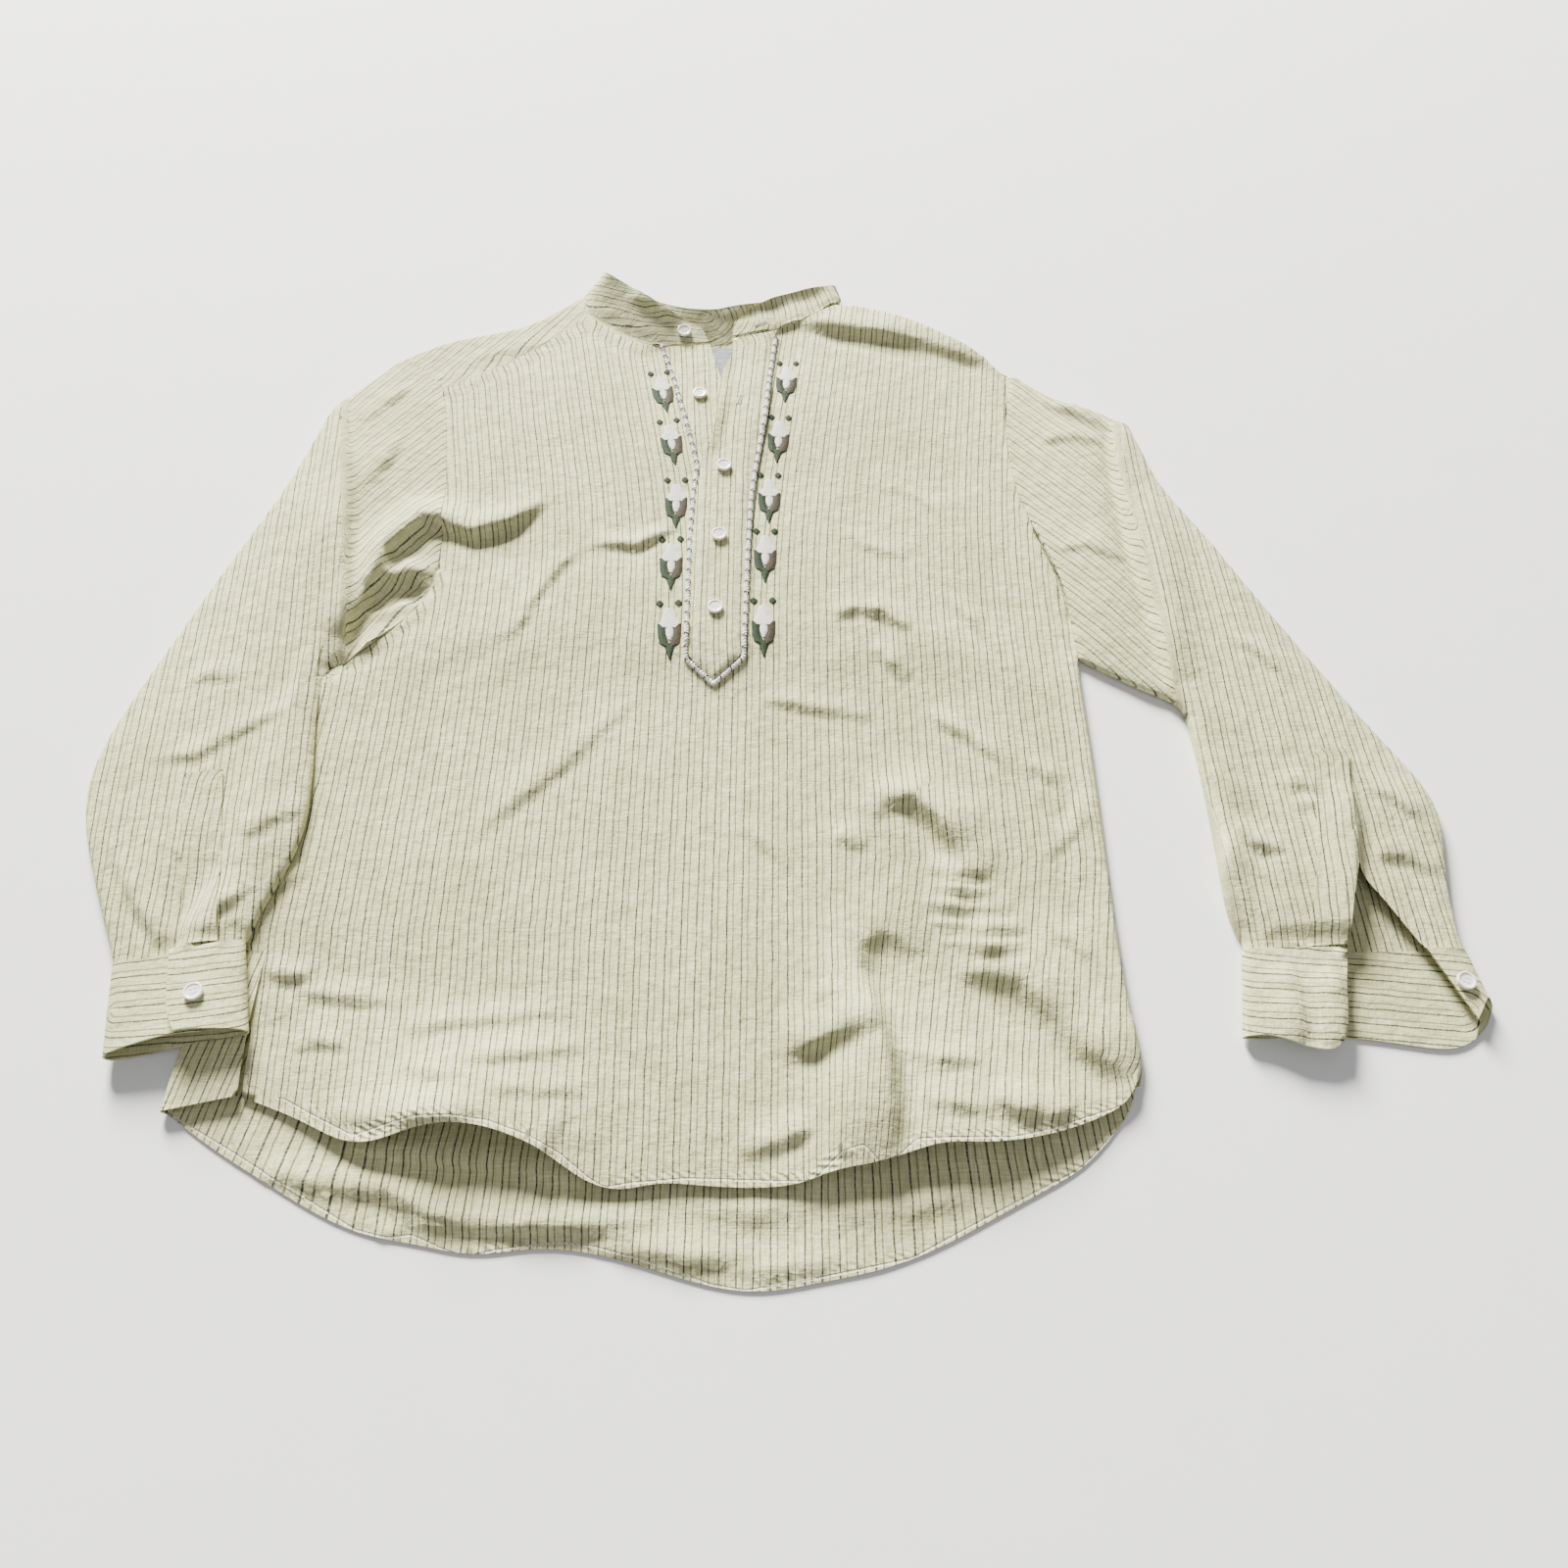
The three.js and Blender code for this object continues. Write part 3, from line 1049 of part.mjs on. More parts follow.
const buttons = BUTTONS.map(({ name, x, y, cloth }) => buttonOn(name, x, y, cloth));

const cloth = [front, back, yoke, collar, underlap, overlap, leftSleeve, rightSleeve, leftCuff, rightCuff];
const kurta = new THREE.Group();
kurta.add(...cloth, ...sleevePlackets, label, ...buttons);

// The origin is on the surface, under the middle of the laid garment.
const box = new THREE.Box3().setFromObject(kurta);
const middle = box.getCenter(point(0, 0, 0));
kurta.position.set(-middle.x, -middle.y, -box.min.z);

export default kurta;
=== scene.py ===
# %% [markdown]
# # A striped linen kurta, laid out flat
#
# The kurta lies front up with its hem towards the camera. The CAD model gives every panel its place and
# its thickness. This lesson turns each panel into soft cloth, lays the woven stripes along it, and adds the
# sewing: corded closure, embroidered motifs, hems and shell buttons. Lengths are in metres where no name or
# comment gives them in millimetres.

# %% Load the frame
import math
import random

import bmesh
import bpy
import numpy as np
from mathutils import Matrix, Vector, noise
from mathutils.bvhtree import BVHTree


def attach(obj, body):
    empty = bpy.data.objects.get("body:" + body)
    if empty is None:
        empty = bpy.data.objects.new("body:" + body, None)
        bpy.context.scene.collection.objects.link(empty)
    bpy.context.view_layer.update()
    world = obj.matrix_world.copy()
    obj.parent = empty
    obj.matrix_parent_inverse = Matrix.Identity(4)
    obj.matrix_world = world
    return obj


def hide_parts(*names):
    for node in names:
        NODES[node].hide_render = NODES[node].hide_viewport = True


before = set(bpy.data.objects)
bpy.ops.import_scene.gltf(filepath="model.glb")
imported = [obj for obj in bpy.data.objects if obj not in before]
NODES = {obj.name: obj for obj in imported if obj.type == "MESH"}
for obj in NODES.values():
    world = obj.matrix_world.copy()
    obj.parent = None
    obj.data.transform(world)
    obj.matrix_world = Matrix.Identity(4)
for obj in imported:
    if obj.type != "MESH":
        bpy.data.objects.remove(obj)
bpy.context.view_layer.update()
MM = 0.001

# %% [markdown]
# ## Camera
#
# The photograph looks down at the garment from its hem side, at about sixty degrees below the horizontal.
# Creases and motifs could be placed by lengths alone, but they are easier to read off the picture. So a pixel
# of the photograph is carried back along the camera's own ray, to a given height over the table.

# %% Camera
PHOTO_PIXELS = 1600
LENS_MM = 28.0
SENSOR_MM = 36.0
CAMERA_PLACE = Vector((0.017, -0.5067, 0.720))
CAMERA_PITCH = math.radians(30.0)

camera_data = bpy.data.cameras.new("camera")
camera_data.lens = LENS_MM
camera_data.sensor_width = SENSOR_MM
camera = bpy.data.objects.new("camera", camera_data)
bpy.context.scene.collection.objects.link(camera)
camera.location = CAMERA_PLACE
camera.rotation_euler = (CAMERA_PITCH, 0.0, 0.0)
bpy.context.scene.camera = camera


def spot(pixel, height):
    """The place on the level plane at this height, in metres, that a pixel of the photograph shows."""
    focal = LENS_MM / SENSOR_MM * PHOTO_PIXELS
    right = (pixel[0] - PHOTO_PIXELS / 2) / focal
    up = (PHOTO_PIXELS / 2 - pixel[1]) / focal
    cos, sin = math.cos(CAMERA_PITCH), math.sin(CAMERA_PITCH)
    ray = Vector((right, sin + up * cos, -cos + up * sin))
    return CAMERA_PLACE + ray * ((height - CAMERA_PLACE.z) / ray.z)


NECK_PIXEL = (720, 345)
print("the neck lies at", [round(c, 3) for c in spot(NECK_PIXEL, 0.01)])

# %% [markdown]
# ## Floor and light
#
# The garment lies on a plain pale table under a large soft light. A lamp overhead would flatten the creases.
# So a wide area lamp stands far behind the collar and to the left, and the near side of each crease and hem
# falls into soft shade. A weak lamp fills from the front, and the sky is even and pale.

# %% Floor and light
FLOOR_DROP = 0.0004
FLOOR_SIZE = 12.0
SKY_STRENGTH = 0.345


def linear(hex_colour):
    """An sRGB colour written as hex digits, turned into the linear values that a shader takes."""
    parts = [int(hex_colour[i : i + 2], 16) / 255 for i in (0, 2, 4)]
    return tuple(p / 12.92 if p <= 0.04045 else ((p + 0.055) / 1.055) ** 2.4 for p in parts) + (1.0,)


def add_lamp(name, place, size, power, colour):
    """A round, soft lamp that aims at the middle of the garment."""
    data = bpy.data.lights.new(name, "AREA")
    data.shape = "DISK"
    data.size = size
    data.energy = power
    data.color = linear(colour)[:3]
    lamp = bpy.data.objects.new(name, data)
    bpy.context.scene.collection.objects.link(lamp)
    lamp.location = place
    lamp.rotation_euler = (-Vector(place)).to_track_quat("-Z", "Y").to_euler()


bpy.ops.mesh.primitive_plane_add(size=FLOOR_SIZE, location=(0, 0, -FLOOR_DROP))
floor = bpy.context.object
floor.name = "floor"
add_lamp("lamp_back", place=(-2.2, 7.0, 3.1), size=3.0, power=4500.0, colour="fffdf4")
add_lamp("lamp_fill", place=(0.2, -1.6, 2.2), size=2.0, power=8.0, colour="f6f8ff")
world = bpy.data.worlds.new("studio")
bpy.context.scene.world = world
world.use_nodes = True
world.node_tree.nodes["Background"].inputs["Color"].default_value = linear("ffffff")
world.node_tree.nodes["Background"].inputs["Strength"].default_value = SKY_STRENGTH

# %% [markdown]
# ## Building materials from nodes
#
# Each finish is a small network. One helper adds a node with its settings and links its inputs, so that a
# material reads from top to bottom like a recipe.


# %% Node helpers
def new_material(name):
    material = bpy.data.materials.new(name)
    material.use_nodes = True
    tree = material.node_tree
    return material, tree, tree.nodes["Principled BSDF"]


def node(tree, kind, settings=None, **inputs):
    """Add a node. Settings are its properties, and inputs are values or the sockets of other nodes."""
    made = tree.nodes.new("ShaderNode" + kind)
    for key, value in (settings or {}).items():
        setattr(made, key, value)
    for key, value in inputs.items():
        name = key.replace("_", " ")
        socket = made.inputs[int(key[1:])] if key[0] == "i" and key[1:].isdigit() else made.inputs[name]
        if isinstance(value, bpy.types.NodeSocket):
            tree.links.new(value, socket)
        else:
            socket.default_value = value
    return made


def maths(tree, operation, first, second=0.0):
    return node(tree, "Math", {"operation": operation}, i0=first, i1=second).outputs[0]


def fade(tree, value, start, end, low=1.0, high=0.0):
    """A smooth step from low at start to high at end."""
    made = node(tree, "MapRange", {"interpolation_type": "SMOOTHSTEP"}, Value=value)
    for key, number in (("From Min", start), ("From Max", end), ("To Min", low), ("To Max", high)):
        made.inputs[key].default_value = number
    return made.outputs["Result"]


def blend(tree, factor, first, second, mode="MIX"):
    """Mix two colours, each a socket or the hex digits of a colour."""
    made = node(tree, "Mix", {"data_type": "RGBA", "blend_type": mode}, i0=factor)
    for socket, colour in ((made.inputs[6], first), (made.inputs[7], second)):
        if isinstance(colour, str):
            socket.default_value = linear(colour)
        else:
            tree.links.new(colour, socket)
    return made.outputs[2]


print("helpers ready")

# %% [markdown]
# ## Striped linen
#
# The cloth is plain-woven linen, cream, with a fine dark green-grey line every 9.6 mm and a thinner, paler
# brown line between. The lines are woven in with coloured warp threads, so they break up a little where weft
# threads cross them. Each thread could be modelled, but a shirt holds tens of thousands, so they are a
# pattern on the surface. The UV map named cloth holds metres across and along the warp. The map named sewing
# holds the run along the nearest line of stitching and the distance to it, and along each line the cloth is
# darkened in a narrow band as painted shade of the stitching groove. Linen is cellulose: its index is about
# 1.53, and it is rough, so the eye sees a matt cloth with a faint sheen from loose fibre. The neck label is
# plain cotton tape, and the same recipe makes it without the stripes; its grey is partly painted shade of
# the neck opening.

# %% Striped linen
STRIPE_REPEAT = 9.6 * MM
DARK_LINE = 0.46 * MM
PALE_LINE = 0.40 * MM
PALE_LINE_AT = 0.40
STITCH_LENGTH = 3.4 * MM
STITCH_REACH = 0.55 * MM
HEM_ROLL = 5.5 * MM
GATHER_EVERY = 6.5 * MM
LINE_WANDER = 1.6 * MM
THREAD_HEIGHT = 0.16 * MM
CRINKLE_HEIGHT = 1.6 * MM
GATHER_HEIGHT = 0.4 * MM
GROOVE_DEPTH = 0.4 * MM
CELLULOSE_INDEX = 1.53
GREEN_LINE_COLOUR = "333a2d"
BROWN_LINE_COLOUR = "625d43"
# The colour of the painted shade in the groove along each line of stitching.
PAINTED_STITCH_SHADE = "8d8672"
SEAM_THREAD = "efe9da"

# Patterns are given in cells a metre, across and along the warp. A warp slub comes out about 1.1 mm by 17 mm,
# and a weft slub 14 mm by 1.3 mm. Both are drawn about twice as coarse as the real threads, which are finer
# than a pixel of the picture.
WARP_SLUBS = (900.0, 60.0)
WEFT_SLUBS = (70.0, 800.0)
LINE_BREAKS = (120.0, 520.0)
CLOUDS = 14.0
WANDERING = 55.0
CRINKLES = 95.0
GATHER_DRIFT = 60.0


def stripe(tree, across, place, half_width):
    """One where a woven line runs, at this share of the repeat, and nought beside it."""
    turns = maths(tree, "ADD", maths(tree, "DIVIDE", across, STRIPE_REPEAT), 0.5 - place)
    offset = maths(tree, "ABSOLUTE", maths(tree, "SUBTRACT", maths(tree, "FRACT", turns), 0.5))
    away = maths(tree, "MULTIPLY", offset, STRIPE_REPEAT)
    return fade(tree, away, half_width * 0.55, half_width * 1.5)


def make_linen(name, light, shade, striped=True):
    material, tree, shader = new_material(name)
    cloth = node(tree, "UVMap", {"uv_map": "cloth"}).outputs["UV"]
    sewing = node(tree, "UVMap", {"uv_map": "sewing"}).outputs["UV"]
    place = node(tree, "TexCoord").outputs["Object"]

    def mottle(vector, scale, detail=2.0):
        made = node(tree, "TexNoise", Vector=vector, Scale=scale, Detail=detail, Roughness=0.6)
        return made.outputs["Fac"]

    def stretched(across, along):
        mapped = node(tree, "Mapping", Vector=cloth, Scale=(across, along, 1.0))
        return mottle(mapped.outputs["Vector"], 1.0, 1.0)

    warp_slub = stretched(*WARP_SLUBS)
    weft_slub = stretched(*WEFT_SLUBS)
    cloud = mottle(place, CLOUDS)
    split = node(tree, "SeparateXYZ", Vector=cloth).outputs
    wander = maths(tree, "SUBTRACT", mottle(place, WANDERING), 0.5)
    across = maths(tree, "ADD", split[0], maths(tree, "MULTIPLY", wander, LINE_WANDER))
    base = blend(tree, fade(tree, weft_slub, 0.32, 0.68, 0.0, 0.45), light, shade)
    base = blend(tree, fade(tree, warp_slub, 0.35, 0.7, 0.0, 0.55), base, shade)
    base = blend(tree, fade(tree, cloud, 0.35, 0.7, 0.0, 0.35), base, shade)
    if striped:
        breaks = fade(tree, stretched(*LINE_BREAKS), 0.30, 0.62, 0.72, 1.0)
        dark = maths(tree, "MULTIPLY", stripe(tree, across, 0.0, DARK_LINE), breaks)
        pale = maths(tree, "MULTIPLY", stripe(tree, across, PALE_LINE_AT, PALE_LINE), breaks)
        base = blend(tree, maths(tree, "MULTIPLY", pale, 0.9), base, BROWN_LINE_COLOUR)
        base = blend(tree, dark, base, GREEN_LINE_COLOUR)
    seam = node(tree, "SeparateXYZ", Vector=sewing).outputs
    near_seam = fade(tree, maths(tree, "ABSOLUTE", seam[1]), STITCH_REACH * 0.5, STITCH_REACH * 1.6)
    phase = maths(tree, "FRACT", maths(tree, "DIVIDE", seam[0], STITCH_LENGTH))
    dash = fade(tree, maths(tree, "ABSOLUTE", maths(tree, "SUBTRACT", phase, 0.5)), 0.28, 0.42)
    thread = maths(tree, "MULTIPLY", near_seam, dash)
    # Painted shade: a narrow band along each line of stitching is darkened, where the cloth sinks into its
    # groove.
    base = blend(tree, maths(tree, "MULTIPLY", near_seam, 0.22), base, PAINTED_STITCH_SHADE)
    base = blend(tree, maths(tree, "MULTIPLY", thread, 0.55), base, SEAM_THREAD)
    tree.links.new(base, shader.inputs["Base Color"])
    rough = fade(tree, warp_slub, 0.3, 0.7, 0.78, 0.92)
    tree.links.new(rough, shader.inputs["Roughness"])
    shader.inputs["IOR"].default_value = CELLULOSE_INDEX
    shader.inputs["Specular IOR Level"].default_value = 0.2
    shader.inputs["Sheen Weight"].default_value = 0.05
    shader.inputs["Sheen Roughness"].default_value = 0.6
    # Height in metres: threads, the soft crinkle of washed linen, and the pull of the stitching.
    threads = maths(tree, "MULTIPLY", maths(tree, "ADD", warp_slub, weft_slub), THREAD_HEIGHT)
    crinkle = maths(tree, "MULTIPLY", mottle(place, CRINKLES, 3.0), CRINKLE_HEIGHT)
    pucker = fade(tree, maths(tree, "ABSOLUTE", seam[1]), HEM_ROLL * 0.6, HEM_ROLL)
    slant = maths(tree, "DIVIDE", maths(tree, "ADD", seam[0], seam[1]), GATHER_EVERY / (2 * math.pi))
    drift = maths(tree, "MULTIPLY", mottle(place, GATHER_DRIFT), 9.0)
    twist = maths(tree, "SINE", maths(tree, "ADD", slant, drift))
    gathered = maths(tree, "MULTIPLY", pucker, fade(tree, cloud, 0.38, 0.62, GATHER_HEIGHT, 0.0))
    gathers = maths(tree, "MULTIPLY", twist, gathered)
    groove = maths(tree, "MULTIPLY", near_seam, -GROOVE_DEPTH)
    height = maths(tree, "ADD", maths(tree, "ADD", threads, crinkle), maths(tree, "ADD", gathers, groove))
    bump = node(tree, "Bump", Strength=0.9, Distance=1.0, Height=height)
    tree.links.new(bump.outputs["Normal"], shader.inputs["Normal"])
    return material


STRIPED_LINEN = make_linen("striped_linen", "dedcb0", "a6a678")
# The label's grey is partly the tape's own pale colour and partly painted shade of the neck opening where it
# lies.
LABEL_WITH_PAINTED_SHADE = make_linen("label_cotton_tape", "979da2", "7f858b", striped=False)
print("materials", [m.name for m in bpy.data.materials])

# %% [markdown]
# ## Thread, cord and shell
#
# The closure is outlined in a white cotton cord, and the motifs are satin-stitched in white, dark green and
# brown stranded cotton. Cotton has the same index as linen, and its twisted threads look smoother than the
# cloth but still matt. Each thread is modelled, so its material only adds the light and shade of the fibres.
# Buttons are cut and polished from pale shell: smooth, bright at the rim and a little translucent, with an
# index of 1.56.


# %% Thread, cord and shell
SHELL_INDEX = 1.56
FIBRE_HEIGHT = 0.3 * MM


def make_thread(name, light, shade, cells, roughness):
    """Twisted cotton: a fine grain, in cells a metre, gives the light and shade of its fibres."""
    material, tree, shader = new_material(name)
    place = node(tree, "TexCoord").outputs["Object"]
    grain = node(tree, "TexNoise", Vector=place, Scale=cells, Detail=2.0).outputs["Fac"]
    base = blend(tree, fade(tree, grain, 0.35, 0.65, 0.0, 1.0), light, shade)
    tree.links.new(base, shader.inputs["Base Color"])
    shader.inputs["Roughness"].default_value = roughness
    shader.inputs["IOR"].default_value = CELLULOSE_INDEX
    shader.inputs["Specular IOR Level"].default_value = 0.15
    shader.inputs["Sheen Weight"].default_value = 0.03
    height = maths(tree, "MULTIPLY", grain, FIBRE_HEIGHT)
    bump = node(tree, "Bump", Strength=0.8, Distance=1.0, Height=height)
    tree.links.new(bump.outputs["Normal"], shader.inputs["Normal"])
    return material


WHITE_CORD = make_thread("white_cotton_cord", "ffffff", "faf8f2", 900.0, 0.6)
WHITE_FLOSS = make_thread("white_stranded_cotton", "faf9f4", "e6e3da", 1600.0, 0.6)
GREEN_FLOSS = make_thread("green_stranded_cotton", "364a30", "202e1c", 1600.0, 0.65)
BROWN_FLOSS = make_thread("brown_stranded_cotton", "544a37", "332c20", 1600.0, 0.65)
TACK_THREAD = make_thread("dark_tacking_thread", "3a3a31", "24251f", 1600.0, 0.7)


def make_shell(name):
    """Polished shell: faint layers of cream and grey under a clear, bright surface."""
    material, tree, shader = new_material(name)
    place = node(tree, "TexCoord").outputs["Object"]
    layers = node(tree, "TexNoise", Vector=place, Scale=260.0, Detail=3.0, Distortion=1.2).outputs["Fac"]
    base = blend(tree, fade(tree, layers, 0.3, 0.7, 0.0, 1.0), "fcfbf7", "eeefec")
    tree.links.new(base, shader.inputs["Base Color"])
    tree.links.new(fade(tree, layers, 0.3, 0.7, 0.16, 0.3), shader.inputs["Roughness"])
    shader.inputs["IOR"].default_value = SHELL_INDEX
    shader.inputs["Subsurface Weight"].default_value = 0.25
    shader.inputs["Subsurface Scale"].default_value = 0.002
    shader.inputs["Coat Weight"].default_value = 0.3
    return material


SHELL = make_shell("shell_button")


def make_table(name):
    """Matt painted board, nearly white."""
    material, tree, shader = new_material(name)
    place = node(tree, "TexCoord").outputs["Object"]
    grain = node(tree, "TexNoise", Vector=place, Scale=30.0, Detail=2.0).outputs["Fac"]
    tree.links.new(blend(tree, grain, "f3f3f3", "f0f0f0"), shader.inputs["Base Color"])
    shader.inputs["Roughness"].default_value = 0.9
    return material


floor.data.materials.append(make_table("pale_table"))
print("materials", len(bpy.data.materials))

# %% [markdown]
# ## From CAD panel to cloth
#
# A panel of the CAD model is a shell of cloth with flat facets. It could be drawn afresh, but its outline
# would drift from the CAD. So a copy of it is merged, its triangles are joined into quads, and its rims are
# marked as creases, so that subdivision rounds the panel but keeps its outline. Where folds show, the upper
# face gets a finer mesh.

# %% Cloth from a panel
RIM_ANGLE = math.radians(50)
FLAT_ANGLE = math.radians(30)
QUAD_ANGLE = math.radians(60)
UPPER_FACE = 0.3
ROUNDING_LEVELS = 2
SLIMMER = 0.00035


def select_only(piece):
    bpy.ops.object.select_all(action="DESELECT")
    bpy.context.view_layer.objects.active = piece
    piece.select_set(True)


def points_of(piece):
    flat = np.empty(len(piece.data.vertices) * 3)
    piece.data.vertices.foreach_get("co", flat)
    return flat.reshape(-1, 3)


def set_points(piece, points):
    piece.data.vertices.foreach_set("co", points.ravel())
    piece.data.update()


def cloth_from(name, fine_above=None):
    """A rounded, slightly thinner copy of a CAD panel, with a finer upper face above a height."""
    source = NODES[name]
    piece = bpy.data.objects.new(name + "_cloth", source.data.copy())
    bpy.context.scene.collection.objects.link(piece)
    piece.data.materials.clear()
    select_only(piece)
    bpy.ops.object.mode_set(mode="EDIT")
    bpy.ops.mesh.select_all(action="SELECT")
    bpy.ops.mesh.remove_doubles(threshold=0.00001)
    bpy.ops.mesh.normals_make_consistent(inside=False)
    bpy.ops.mesh.tris_convert_to_quads(face_threshold=FLAT_ANGLE, shape_threshold=QUAD_ANGLE)
    bpy.ops.object.mode_set(mode="OBJECT")
    mesh = bmesh.new()
    mesh.from_mesh(piece.data)
    crease = mesh.edges.layers.float.new("crease_edge")
    for edge in mesh.edges:
        if len(edge.link_faces) == 2 and edge.calc_face_angle(0) > RIM_ANGLE:
            edge[crease] = 1.0
    mesh.to_mesh(piece.data)
    mesh.free()
    rounding = piece.modifiers.new("rounding", "SUBSURF")
    rounding.levels = ROUNDING_LEVELS
    rounding.render_levels = ROUNDING_LEVELS
    bpy.ops.object.modifier_apply(modifier="rounding")
    if fine_above is not None:
        bpy.ops.object.mode_set(mode="EDIT")
        bpy.ops.mesh.select_mode(type="FACE")
        bpy.ops.mesh.select_all(action="DESELECT")
        bpy.ops.object.mode_set(mode="OBJECT")
        for face in piece.data.polygons:
            face.select = face.normal.z > UPPER_FACE and face.center.z > fine_above
        bpy.ops.object.mode_set(mode="EDIT")
        bpy.ops.mesh.subdivide(number_cuts=1, smoothness=0.0)
        bpy.ops.object.mode_set(mode="OBJECT")
    outward = np.empty(len(piece.data.vertices) * 3)
    piece.data.vertex_normals.foreach_get("vector", outward)
    set_points(piece, points_of(piece) - outward.reshape(-1, 3) * SLIMMER)
    bpy.ops.object.shade_smooth_by_angle(angle=RIM_ANGLE)
    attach(piece, "root")
    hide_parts(name)
    return piece


def smooth(value, start, end):
    """Nought up to start, one from end on, and an even slope between."""
    share = np.clip((value - start) / (end - start), 0.0, 1.0)
    return share * share * (3.0 - 2.0 * share)


print("cloth helpers ready")

# %% [markdown]
# ## Creases
#
# A crease in laid cloth is a low ridge with a softer trough along one side. A simulation would find folds of
# its own, and not those of this garment. So each crease is a line drawn over the photograph, with its half
# width and its height in millimetres. The left of the direction of travel is its gentle side, and the right
# is its steep side, with the trough, over which a wide crest leans. Both sizes fade towards the ends.


# %% Creases
def along_line(points, line):
    """For each point, the distance along the line and to its left, the way left, and the line's length."""
    best = np.full(len(points), 1e9)
    along = np.zeros(len(points))
    side = np.zeros(len(points))
    left = np.zeros((len(points), 2))
    walked = 0.0
    for (ax, ay), (bx, by) in zip(line[:-1], line[1:]):
        length = math.hypot(bx - ax, by - ay)
        dx, dy = (bx - ax) / length, (by - ay) / length
        px, py = points[:, 0] - ax, points[:, 1] - ay
        held = np.clip(px * dx + py * dy, 0.0, length)
        gap = np.hypot(px - dx * held, py - dy * held)
        closer = gap < best
        best = np.where(closer, gap, best)
        along = np.where(closer, walked + held, along)
        side = np.where(closer, np.sign(dx * py - dy * px) * gap, side)
        left = np.where(closer[:, None], (-dy, dx), left)
        walked += length
    return along, side, left, walked


RELIEF = 1.5
FAR_SLOPE = 1.8
NEAR_SLOPE = 0.7
OVERHANG = 0.3
LEANING_FROM = 5.0
LEANING_FULLY = 11.0
TROUGH_AT = 1.3
TROUGH_WIDTH = 0.7
TROUGH_DEPTH = 0.25


def crease_moves(points, creases, level):
    """How far, in metres, these creases move each point. A wide crest leans over its steep side."""
    moves = np.zeros((len(points), 3))
    for number, (pixels, half_width, height) in enumerate(creases):
        line = [tuple(spot(p, level)[:2]) for p in pixels]
        along, side, left, length = along_line(points, line)
        share = along / length
        ends = np.sin(share * math.pi) ** 0.7
        uneven = 1.0 + 0.22 * np.sin(share * 7.0 + number * 1.7) + 0.12 * np.sin(share * 17.0 + number)
        width = half_width * MM * (0.55 + 0.3 * ends)
        leaning = (half_width - LEANING_FROM) / (LEANING_FULLY - LEANING_FROM)
        overhang = OVERHANG * min(1.0, max(0.0, leaning))
        crest = np.exp(-((side / np.where(side > 0, FAR_SLOPE * width, NEAR_SLOPE * width)) ** 2))
        trough = np.exp(-(((side + TROUGH_AT * width) / (TROUGH_WIDTH * width)) ** 2))
        tall = RELIEF * height * MM * ends * uneven
        moves[:, 2] += tall * (crest - TROUGH_DEPTH * trough)
        moves[:, :2] -= left * (overhang * np.maximum(tall, 0.0) * crest)[:, None]
    return moves


print("crease helpers ready")

# %% [markdown]
# ## Shaping a panel
#
# Washed linen is never quite flat between its creases. Broad waves about 100 mm apart and small ones about
# 25 mm apart are added with them. Only the upper layer moves, because the lower one lies on the table. A
# corner that the CAD model leaves sharp is eased into the curve of the real cut.

# %% Shaping a panel
BROAD_WAVES = (11.0, 9.0)
SMALL_WAVES = (42.0, 36.0)
DIP_FROM = 0.003
DIP_FULL = 0.009


def soft_waves(points, seed, wide, fine):
    """Broad and small unevenness of washed cloth, in metres, the same on each run."""
    lift = np.empty(len(points))
    for i, (x, y, z) in enumerate(points):
        broad = noise.noise(Vector((x * BROAD_WAVES[0] + seed, y * BROAD_WAVES[1], seed)))
        small = noise.noise(Vector((x * SMALL_WAVES[0], y * SMALL_WAVES[1] + seed, seed * 2.0)))
        lift[i] = broad * wide * MM + small * fine * MM
    return lift


def shape_cloth(piece, creases, level, rise=(0.0016, 0.0034), wide=1.2, fine=0.4, seed=1.0, lowest=-0.004):
    """Move the upper layer of a piece by its creases, and leave what lies on the floor."""
    points = points_of(piece)
    weight = smooth(points[:, 2], *rise)
    moves = crease_moves(points, creases, level)
    depth = lowest * smooth(points[:, 2], DIP_FROM, DIP_FULL)
    moves[:, 2] = np.maximum(moves[:, 2] + soft_waves(points, seed, wide, fine), depth)
    set_points(piece, points + moves * weight[:, None])
    print(piece.name, "lift", np.round([moves[:, 2].min() / MM, moves[:, 2].max() / MM], 1), "mm")


def round_corner(piece, corner, before, after, radius):
    """Ease a sharp corner of cloth into a curve. Two pixels on its edges tell which way the edges run."""
    tip, first, last = (Vector(spot(p, 0.006)[:2]) for p in (corner, before, after))
    ways = [(first - tip).normalized(), (last - tip).normalized()]
    inward = (ways[0] + ways[1]).normalized()
    points = points_of(piece)
    tip = Vector(points[np.argmin(points[:, :2] @ np.array(inward)), :2])
    centre = tip + inward * radius / math.sin(ways[0].angle(inward))
    normals = [(way * (tip - centre).dot(way) - (tip - centre)).normalized() * -1 for way in ways]
    out = points[:, :2] - np.array(centre)
    reach = np.maximum(np.hypot(out[:, 0], out[:, 1]), 1e-9)
    share = [(out @ np.array(n)) / reach for n in normals]
    spread = normals[0].dot(normals[1])
    within = (share[0] > spread) & (share[1] > spread) & (out @ np.array(inward) < 0)
    pull = np.where(within, np.maximum(share[0], share[1]), 1.0)
    points[:, :2] = np.array(centre) + out * pull[:, None]
    set_points(piece, points)
    print(piece.name, "corner rounded, points moved", int(within.sum()))


print("shaping helpers ready")

